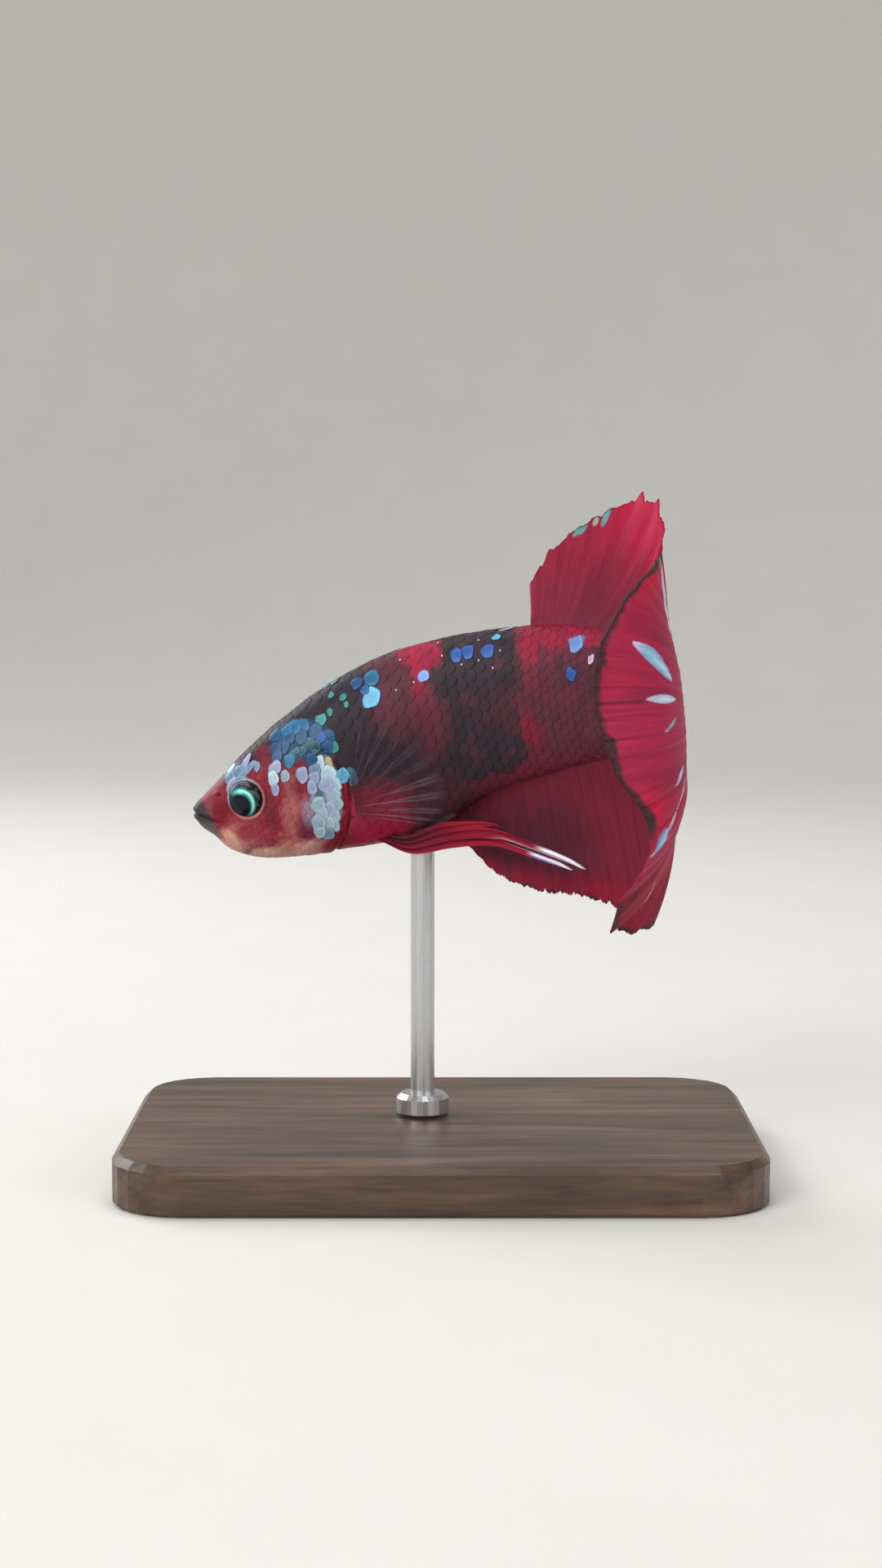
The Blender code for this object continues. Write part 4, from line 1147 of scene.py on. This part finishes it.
def fin_plate(name, middle, half, colour, lie, material, normal=None, **fields):
    """A closed plate round a grid of fish points, with separate bake islands for its two faces."""
    if normal is None:
        normal = unit(np.cross(np.gradient(middle, axis=0), np.gradient(middle, axis=1)))
    rows, columns = middle.shape[:2]
    faces, uv = [], []

    def number(i, j, back):
        return (back * rows + i) * columns + j

    def spot(i, j, back, nudge=0.0):
        return 0.02 + 0.96 * j / (columns - 1), 0.02 + 0.46 * i / (rows - 1) + 0.5 * back + nudge

    for i in range(rows - 1):
        for j in range(columns - 1):
            ring = ((i, j), (i, j + 1), (i + 1, j + 1), (i + 1, j))
            for back, corners in enumerate((ring, ring[::-1])):
                faces.append([number(*corner, back) for corner in corners])
                uv += [spot(*corner, back) for corner in corners]
    rim = [(0, j) for j in range(columns)] + [(i, columns - 1) for i in range(1, rows)]
    rim += [(rows - 1, j) for j in range(columns - 2, -1, -1)] + [(i, 0) for i in range(rows - 2, 0, -1)]
    for a, b in zip(rim, rim[1:] + rim[:1]):
        faces.append((number(*a, 0), number(*b, 0), number(*b, 1), number(*a, 1)))
        nudge = -RIM_NUDGE if a[0] == b[0] == 0 else RIM_NUDGE
        uv += [spot(*a, 0), spot(*b, 0), spot(*b, 0, nudge), spot(*a, 0, nudge)]
    points = bend([middle + side * normal * half[..., None] for side in (1, -1)])
    lies = np.stack([lie, lie + np.array((0, 0, 5.0))]).reshape(-1, 3)
    fields = {key: np.tile(values.ravel(), 2) for key, values in fields.items()}
    return add_piece(name, points.reshape(-1, 3), faces, material, uv, np.stack([colour, colour]), lie=lies,
                     **fields)


def fin_grid(rays, per_ray, rows):
    """Places across a fin, from its first ray to its last, and along it, from root to margin."""
    return np.meshgrid(np.linspace(0.0, 1.0, (rays - 1) * per_ray + 1), np.linspace(0.0, 1.0, rows))


def flecks(t, v, seed, size=(0.03, 0.12)):
    return noise(stacked(t / size[0], v / size[1], seed), 1.0, seed)


def fold_shade_noise(t, v, count, rise, seed):
    """Noise that runs along the rays as broad folds do, where shade is painted into the folds."""
    return noise(stacked(t * count, rise * v, 4.0), 1.0, seed)


def dorsal_fin(material):
    rays = 15
    t, v = fin_grid(rays, 14, 72)
    reach = 0.975 + torn(t, rays, 0.025, 0.018, 90, 11)
    for centre, width, rise in DORSAL_TIPS:
        reach = reach + rise * bell(t, centre, width)
    grid, along = stood_fin(t, v, DORSAL_BASE, BACK, -ROOT_SINK, DORSAL_MARGIN, reach)
    # The rays lean back and bow, and the membrane is pleated between them.
    grid[..., 1] += 0.09 * np.sin(math.pi * t * (rays - 1)) * ease(0.1, 0.9, v)
    grid[..., 1] += 0.3 * np.sin(5.2 * t + 1.0) * v**2
    ridge = ray_shape(t, v, rays)
    half = 0.06 + (0.035 - 0.015 * v) * ridge + 0.45 * bell(v, 0.0, 0.13)
    colour, lay = painter(t.shape)
    lay((0.235, 0.017, 0.045))
    lay((0.47, 0.006, 0.05), ease(0.35, 0.95, along + 0.25 * t) * lerp(0.3, 1.0, ease(0.25, 0.65, t)))
    lay((0.3, 0.03, 0.075), 0.55 * ease(0.22, 0.0, t) * ease(0.2, 0.6, v))
    # Painted shade in the folds of the membrane's rear half.
    dark = ease(0.25, 0.45, t) * ease(0.95, 0.7, t) * ease(0.9, 0.55, v)
    lay((0.07, 0.01, 0.026), 0.38 * dark * ease(0.1, 0.6, fold_shade_noise(t, v, 9, 0.25, 33)))
    lay((0.11, 0.008, 0.026), 0.25 * ease(0.15, 0.75, ridge) * ease(1.0, 0.6, v))
    lay((0.15, 0.02, 0.04), 0.5 * ease(0.3, 0.1, v))
    lay((0.56, 0.3, 0.34), 0.85 * ease(0.016, 0.006, t) * ease(0.28, 0.45, v))
    for centre, long, tall, tint in DORSAL_MARKS:
        near = np.hypot((t - centre[0]) / long, (v - centre[1]) / tall) + 0.3 * flecks(t, v, 31)
        lay(tint, ease(1.15, 0.85, near))
    lay((0.03, 0.05, 0.05), 0.7 * ease(0.975, 0.995, v) * ease(0.24, 0.27, t) * ease(0.47, 0.44, t))
    return fin_plate("dorsal_fin_rays", grid, half, colour, stacked(t * 60, v * 5, 0.0), material)


def anal_fin(material):
    rays = 19
    t, v = fin_grid(rays, 12, 64)
    reach = 1.0 + torn(t, rays, 0.02, 0.03, 130, 12)
    grid, _ = stood_fin(t, v, ANAL_BASE, BELLY, ROOT_SINK, ANAL_MARGIN, reach)
    grid[..., 1] += 0.07 * np.sin(math.pi * t * (rays - 1)) * ease(0.15, 0.9, v)
    grid[..., 1] += 0.25 * np.sin(6.0 * t) * v**2
    ridge = ray_shape(t, v, rays)
    half = 0.06 + (0.035 - 0.015 * v) * ridge + 0.45 * bell(v, 0.0, 0.13)
    colour, lay = painter(t.shape)
    lay((0.15, 0.009, 0.028))
    lay((0.085, 0.009, 0.026), ease(0.12, 0.5, v + 0.1 * flecks(t, v, 50)) * ease(0.85, 0.5, t))
    lay((0.2, 0.012, 0.034), 0.8 * ease(0.45, 0.75, t) * ease(0.1, 0.5, v))
    lay((0.215, 0.004, 0.028), ease(0.74, 0.94, v + 0.06 * flecks(t, v, 51)))
    lay((0.29, 0.005, 0.03), 0.8 * ease(0.8, 0.95, v) * ease(0.45, 0.6, t))
    lay((0.24, 0.012, 0.036), 0.5 * ease(0.08, 0.0, t) * ease(0.2, 0.6, v))
    lay((0.045, 0.006, 0.016), 0.3 * ease(0.2, 0.8, ridge) * ease(0.98, 0.7, v))
    fringe = ease(0.955, 0.985, v) * ease(-0.25, 0.3, flecks(t, v, 53, (0.012, 0.5)))
    lay((0.02, 0.012, 0.018), 0.85 * fringe * ease(0.15, 0.3, t))
    return fin_plate("anal_fin_rays", grid, half, colour, stacked(t * 80, v * 5, 9.0), material)


def tail_flat(t, v):
    """Where a point of the tail fin is on its flat fan, before it curls."""
    angle, length, _, _ = tail_rays(t)
    angle = np.radians(angle)
    return np.stack([v * length * np.cos(angle), v * length * np.sin(angle)], -1)


def tail_rays(t):
    """The angle, length, and lean at the root and at the tip of the tail fin's rays."""
    design = np.array(TAIL_RAYS)[::-1]
    angle = lerp(design[0, 0], design[-1, 0], t)
    return [angle, *(np.interp(angle, design[:, 0], design[:, k]) for k in (1, 2, 3))]


def tail_fin(material):
    rays, rows = 24, 112
    t, v = fin_grid(rays, 16, rows)
    angle, length, lean_root, lean_tip = tail_rays(t)
    length = length * (1.0 + 0.03 * bell(t, 0.58, 0.2)) + 1.7 * bell(angle, -71.5, 2.3)
    length = length - 0.5 * bell(angle, -65.5, 3.0)
    length = length * (1.0 + torn(t, rays, 0.016, 0.016, 150, 13) + 0.025 * along_margin(t, 15, 15))
    lean = np.radians(lerp(lean_root, lean_tip, v))

    def run(values):
        """How far a ray has gone at each row, from its direction at all of them."""
        total = np.cumsum((values[1:] + values[:-1]) / 2 * length[1:] / (rows - 1), 0)
        return np.vstack([np.zeros((1, t.shape[1])), total])

    out, over = run(np.cos(lean)), run(np.sin(lean))
    cos, sin = np.cos(np.radians(angle)), np.sin(np.radians(angle))
    root = TAIL_ROOT_MIDDLE + TAIL_ROOT_HALF * sin
    grid = stacked(LENGTH - TAIL_ROOT_SINK + out * cos, over, root + out * sin)
    normal = unit(np.cross(np.gradient(grid, axis=0), np.gradient(grid, axis=1)))
    pleat = 0.012 * np.cos(2 * math.pi * t * (rays - 1)) * ease(0.1, 0.8, v)
    pleat = pleat + 0.16 * np.sin(17 * t) * v**2 + 0.22 * bell(t, 0.618, 0.018) * ease(0.6, 0.95, v)
    grid = grid + pleat[..., None] * normal
    ridge = ray_shape(t, v, rays)
    # The root starts inside the tail stalk and swells past its end.
    half = 0.06 + 0.014 * ridge + 0.34 * bell(v, 0.05, 0.12) * ease(-0.03, 0.06, v)
    colour, lay = painter(t.shape)
    lay((0.35, 0.012, 0.055))
    lay((0.37, 0.022, 0.08), 0.8 * ease(0.7, 0.42, v))
    patchy = ease(-0.45, 0.35, flecks(t, v, 61, (0.13, 0.3)))
    lay((0.52, 0.004, 0.036), 0.9 * ease(0.72, 0.92, v) * patchy * ease(0.3, 0.42, t))
    lay((0.235, 0.003, 0.02), 0.9 * ease(0.45, 0.8, v) * ease(0.3, 0.2, t))
    lay((0.15, 0.008, 0.03), 0.14 * ease(0.2, 0.9, 1.0 - on_rays(t, rays)) * ease(0.1, 0.5, v))
    lay((0.18, 0.01, 0.034), 0.22 * ease(0.3, 0.9, ridge))
    # Painted shade in the broad folds.
    lay((0.13, 0.008, 0.026), 0.35 * ease(0.35, 0.75, fold_shade_noise(t, v, 22, 0.6, 67)) * ease(0.95, 0.7, v))
    # The dark, marbled margin, wider below the middle.
    marbled, waver = flecks(t, v, 63, (0.014, 0.03)), along_margin(t, 26, 64, 8.0)
    inner = 1.0 - (0.024 + 0.016 * ease(0.6, 0.42, t) + 0.018 * waver + 0.01 * marbled)
    patches = ease(0.93, 0.955, v) * ease(0.35, 0.7, waver + 0.4 * marbled)
    lay((0.03, 0.016, 0.022), 0.92 * ease(inner - 0.016, inner + 0.008, v) * ease(0.34, 0.39, t))
    lay((0.03, 0.016, 0.022), 0.6 * patches * ease(0.34, 0.39, t))
    lay((0.035, 0.012, 0.02), 0.8 * ease(0.955, 0.985, v + 0.01 * marbled) * ease(0.22, 0.18, t))
    # Painted shade along two narrow creases: one on the pleat near the middle of the fan, one slanting across
    # the lower lobe.
    lay((0.05, 0.01, 0.02), 0.8 * bell(t, 0.619, 0.004) * ease(0.7, 0.78, v))
    lay((0.05, 0.008, 0.018), 0.7 * bell(t, 0.232 - 0.3 * (v - 0.75), 0.01) * ease(0.55, 0.75, v))
    lay((0.05, 0.07, 0.065), 0.8 * ease(0.075, 0.03, t) * ease(0.5, 0.75, v))
    for start, stop, width, tint in TAIL_MARKS:
        a, b = tail_flat(*np.array(start)), tail_flat(*np.array(stop))
        past = tail_flat(t, v) - a
        part = np.clip((past @ (b - a)) / ((b - a) @ (b - a)), -0.2, 1.2)
        on_line = np.clip(part, 0.0, 1.0)
        off = np.linalg.norm(past - on_line[..., None] * (b - a), axis=-1)
        off = off / (width * (0.1 + 0.9 * np.sin(math.pi * on_line) ** 0.8))
        lay(tint, ease(1.15, 0.85, off))
        lay((0.62, 0.78, 0.84), 0.55 * ease(0.7, 0.2, off) * ease(0.15, 0.6, part))
        lay((0.16, 0.56, 0.56), 0.45 * ease(0.9, 0.4, off) * bell(part, 0.42, 0.25) * (width > 0.4))
        lay((0.66, 0.5, 0.66), 0.7 * ease(1.1, 0.8, off) * ease(0.3, 0.05, part))
    return fin_plate("caudal_fin_rays", grid, half, colour, stacked(t * 110, v * 6, 19.0), material, normal)


def chest_fin(side, word, material):
    """A thin clear fan, folded back along the flank."""
    rays = 11
    t, v = fin_grid(rays, 12, 48)
    root = curve_through(CHEST_FIN_ROOT, t) - np.array((0.25, 0.45, 0.0))
    along = v * (1.0 + torn(t, rays, 0.025, 0.02, 70, 14))
    grid = root + along[..., None] * (curve_through(CHEST_FIN_MARGIN, t) - root)
    grid[..., 1] += 0.55 * np.sin(math.pi * v) * (0.4 + 0.6 * np.sin(math.pi * t))
    grid[..., 1] += 0.1 * np.sin(2 * math.pi * t * (rays - 1)) * v
    grid[..., 1] *= side
    ridge = ray_shape(t, v, rays, (0.3, 0.65))
    half = 0.03 + 0.03 * ridge * (1.0 - 0.5 * v)
    colour, lay = painter(t.shape)
    streak = ease(0.05, 0.55, noise(stacked(t * 13, v * 1.6, 0.0), 1.0, 81))
    lay((0.045, 0.026, 0.036))
    lay((0.11, 0.058, 0.08), 0.6 * ridge + 0.4 * streak * ridge)
    lay((0.23, 0.13, 0.16), 0.8 * ease(0.35, 0.75, t) * streak * ridge * ease(0.85, 0.4, v))
    lay((0.18, 0.018, 0.038), 0.7 * ease(0.25, 0.0, v))
    veil = 0.12 + (0.42 + 0.25 * streak) * ridge**1.3 * (1.0 - 0.55 * v)
    veil = veil * ease(1.02, 0.88, v) + 0.4 * ease(0.12, 0.0, v)
    return fin_plate("pectoral_fin_" + word + "_rays", grid, half, colour, stacked(t * 50, v * 5, 29.0),
                     material, veil=veil)


def belly_fin(side, word, material):
    """A narrow blade whose longest rays end in two pale prongs."""
    rows, per_ray, rays = 110, 8, len(BELLY_FIN_RAYS)
    column = np.linspace(0.0, rays - 1.0, (rays - 1) * per_ray + 1)
    tip = np.interp(column, *np.array(BELLY_FIN_TIPS).T)
    k, v = np.meshgrid(column, np.linspace(0.0, 1.0, rows))
    along = v * tip
    grid = curve_through(BELLY_FIN_PATH, along)
    width = lerp(*BELLY_FIN_WIDTH, ease(0.0, 0.4, along))
    grid[..., 2] += np.interp(k, np.arange(rays), BELLY_FIN_RAYS) * width
    on_ray = np.cos(math.pi * (k - np.round(k))) ** 2
    half = lerp(0.2, 0.09, along) * (0.45 + 0.55 * on_ray)
    grid[..., 1] += 0.08 * np.sin(math.pi * k)
    grid[..., 1] *= side
    colour, lay = painter(k.shape)
    lay((0.2, 0.006, 0.028))
    lay((0.3, 0.005, 0.03), ease(0.25, 0.5, along))
    lay((0.48, 0.012, 0.038), 0.7 * ease(4.2, 5.4, k) * ease(0.35, 0.5, along))
    lay((0.4, 0.006, 0.03), 0.6 * ease(1.6, 0.4, k) * ease(0.05, 0.2, along))
    # Painted shade on the upper rays near the root, where the fin lies under the belly.
    lay((0.06, 0.01, 0.022), 0.9 * ease(2.6, 5.5, k) * ease(0.42, 0.15, along))
    lay((0.06, 0.01, 0.022), 0.35 * (1.0 - on_ray))
    for ray, start in ((1.0, 0.76), (3.0, 0.8)):
        prong = ease(0.85, 0.6, np.abs(k - ray)) * ease(start, start + 0.05, along)
        lay((0.12, 0.17, 0.52), 0.95 * prong * ease(0.0, -0.45, k - ray))
        lay((0.86, 0.88, 0.92), prong * ease(-0.35, -0.05, k - ray))
    lay((0.64, 0.38, 0.42), 0.6 * bell(k, 2.55, 0.22) * ease(0.6, 0.68, along))
    sideways = np.broadcast_to((0.0, 1.0, 0.0), grid.shape)
    return fin_plate("pelvic_fin_" + word + "_rays", grid, half, colour, stacked(k * 3, along * 9, 39.0),
                     material, sideways)


# ---------------------------------------------------------------- the stand's pad


def stand_pad(material):
    """A small cup on the rod's tip that meets the belly."""
    belly = bend((ROD_S, 0.0, body_line(ROD_S, BELLY)))
    radius, rise = np.array(PAD_PROFILE).T[..., None]
    angle = np.linspace(0.0, 2 * math.pi, PAD_SIDES, endpoint=False)
    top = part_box("stand_rod")[1][2] / MM
    rings = stacked(belly[0] + radius * np.cos(angle), belly[1] + radius * np.sin(angle), top + rise)
    points = np.vstack([rings[0].mean(0), rings.reshape(-1, 3), rings[-1].mean(0)])
    return add_piece("stand_pad", points, round_net(len(rings) + 2, PAD_SIDES)[0], material)


# ---------------------------------------------------------------- put together


def place_piece(piece, slot, *nodes):
    """Joins a piece to the body and hides the CAD nodes it is shown instead of; its slot is not used."""
    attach(piece, "root")
    if nodes:
        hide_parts(*nodes)


def make_fish():
    flesh, membrane = skin_material(), fin_look("fin_membrane", 0.52).material
    place_piece(make_skin(flesh), "fish_skin", "head", "lower_jaw", "gill_cover_left", "gill_cover_right",
                "trunk", "tail_stalk")
    for piece in make_scales(scale_material("scales", 0.5, 0.0), scale_material("bright_scales", 0.4, 0.1)):
        place_piece(piece, "fish_skin")
    eye_look, clear = eye_material(), veil_material()
    for side, word in ((1, "left"), (-1, "right")):
        place_piece(make_lid(side, word, flesh), "fish_skin")
        place_piece(make_eye(side, word, eye_look), "eye", "eye_" + word)
        place_piece(chest_fin(side, word, clear), "clear_fin", "pectoral_fin_" + word)
        place_piece(belly_fin(side, word, membrane), "fin_membrane", "pelvic_fin_" + word)
    place_piece(dorsal_fin(membrane), "fin_membrane", "dorsal_fin")
    place_piece(anal_fin(membrane), "fin_membrane", "anal_fin")
    place_piece(tail_fin(membrane), "fin_membrane", "caudal_fin")


def make_stand():
    for name, look in (("stand_base", wood_material()), ("stand_rod", steel_material())):
        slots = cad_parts[name].material_slots
        if not slots:
            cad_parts[name].data.materials.append(look)
        for slot in slots:
            slot.material = look
    silicone = cloudy_material("silicone", 0.5, 1500.0, (0.1, 0.1, 0.11), (0.18, 0.18, 0.19))
    place_piece(stand_pad(silicone), "stand_steel")


def make_stage():
    """A round floor whose edge curves up into a backdrop on every side."""
    rise = np.linspace(0.0, math.pi / 2, STAGE_STEPS + 1)
    curve = stacked(STAGE_FLAT + STAGE_CURVE * np.sin(rise), STAGE_CURVE * (1.0 - np.cos(rise)))
    radius, height = np.vstack([(0.3, 0.0), curve, (STAGE_FLAT + STAGE_CURVE, STAGE_HEIGHT)]).T[..., None]
    angle = np.linspace(0.0, 2 * math.pi, STAGE_SIDES, endpoint=False)
    rings = stacked(radius * np.cos(angle), radius * np.sin(angle), height)
    points = np.vstack([np.zeros(3), rings.reshape(-1, 3)]) / MM
    faces = round_net(len(rings) + 1, STAGE_SIDES, closed=False)[0]
    pale = cloudy_material("pale_floor", 0.75, 60.0, (0.66, 0.65, 0.63), (0.7, 0.69, 0.67))
    add_piece("floor", points, faces, pale, closed=False)


def area_light(name, place, size, power, colour):
    data = bpy.data.lights.new(name, "AREA")
    data.shape = "RECTANGLE"
    data.size, data.size_y = size
    data.energy = power
    data.color = colour
    lamp = bpy.data.objects.new(name, data)
    lamp.location = place
    x, y, z = unit(np.array(AIM) - np.array(place))
    lamp.rotation_euler = (math.acos(-z), 0.0, math.atan2(y, x) - math.pi / 2)
    bpy.context.scene.collection.objects.link(lamp)


def make_light():
    area_light("key", (-0.28, -0.42, 0.36), (0.3, 0.3), 2.0, (1.0, 0.99, 0.97))
    area_light("fill", (0.4, -0.36, 0.16), (0.35, 0.35), 0.8, (0.97, 0.98, 1.0))
    area_light("top", (0.02, 0.05, 0.5), (0.4, 0.3), 1.3, (1.0, 1.0, 1.0))
    area_light("back", (-0.25, 0.22, 0.22), (0.2, 0.2), 0.7, (1.0, 1.0, 1.0))
    world = bpy.data.worlds.new("soft_light")
    bpy.context.scene.world = world
    world.use_nodes = True
    background = world.node_tree.nodes["Background"]
    background.inputs["Color"].default_value = (0.95, 0.97, 1.0, 1.0)
    background.inputs["Strength"].default_value = 0.3
    bpy.context.scene.view_settings.view_transform = "Standard"


def make_camera():
    """220 mm from the fish and five degrees above its level, for an upright picture."""
    data = bpy.data.cameras.new("camera")
    data.sensor_fit = "VERTICAL"
    data.sensor_height = 36.0
    data.lens = LENS
    data.clip_start = 0.01
    camera = bpy.data.objects.new("camera", data)
    camera.location = (0.0, -CAMERA_REACH * math.cos(CAMERA_TILT),
                       AIM[2] + CAMERA_REACH * math.sin(CAMERA_TILT))
    camera.rotation_euler = (math.pi / 2 - CAMERA_TILT, 0.0, 0.0)
    bpy.context.scene.collection.objects.link(camera)
    bpy.context.scene.camera = camera


make_fish()
make_stand()
make_stage()
make_light()
make_camera()
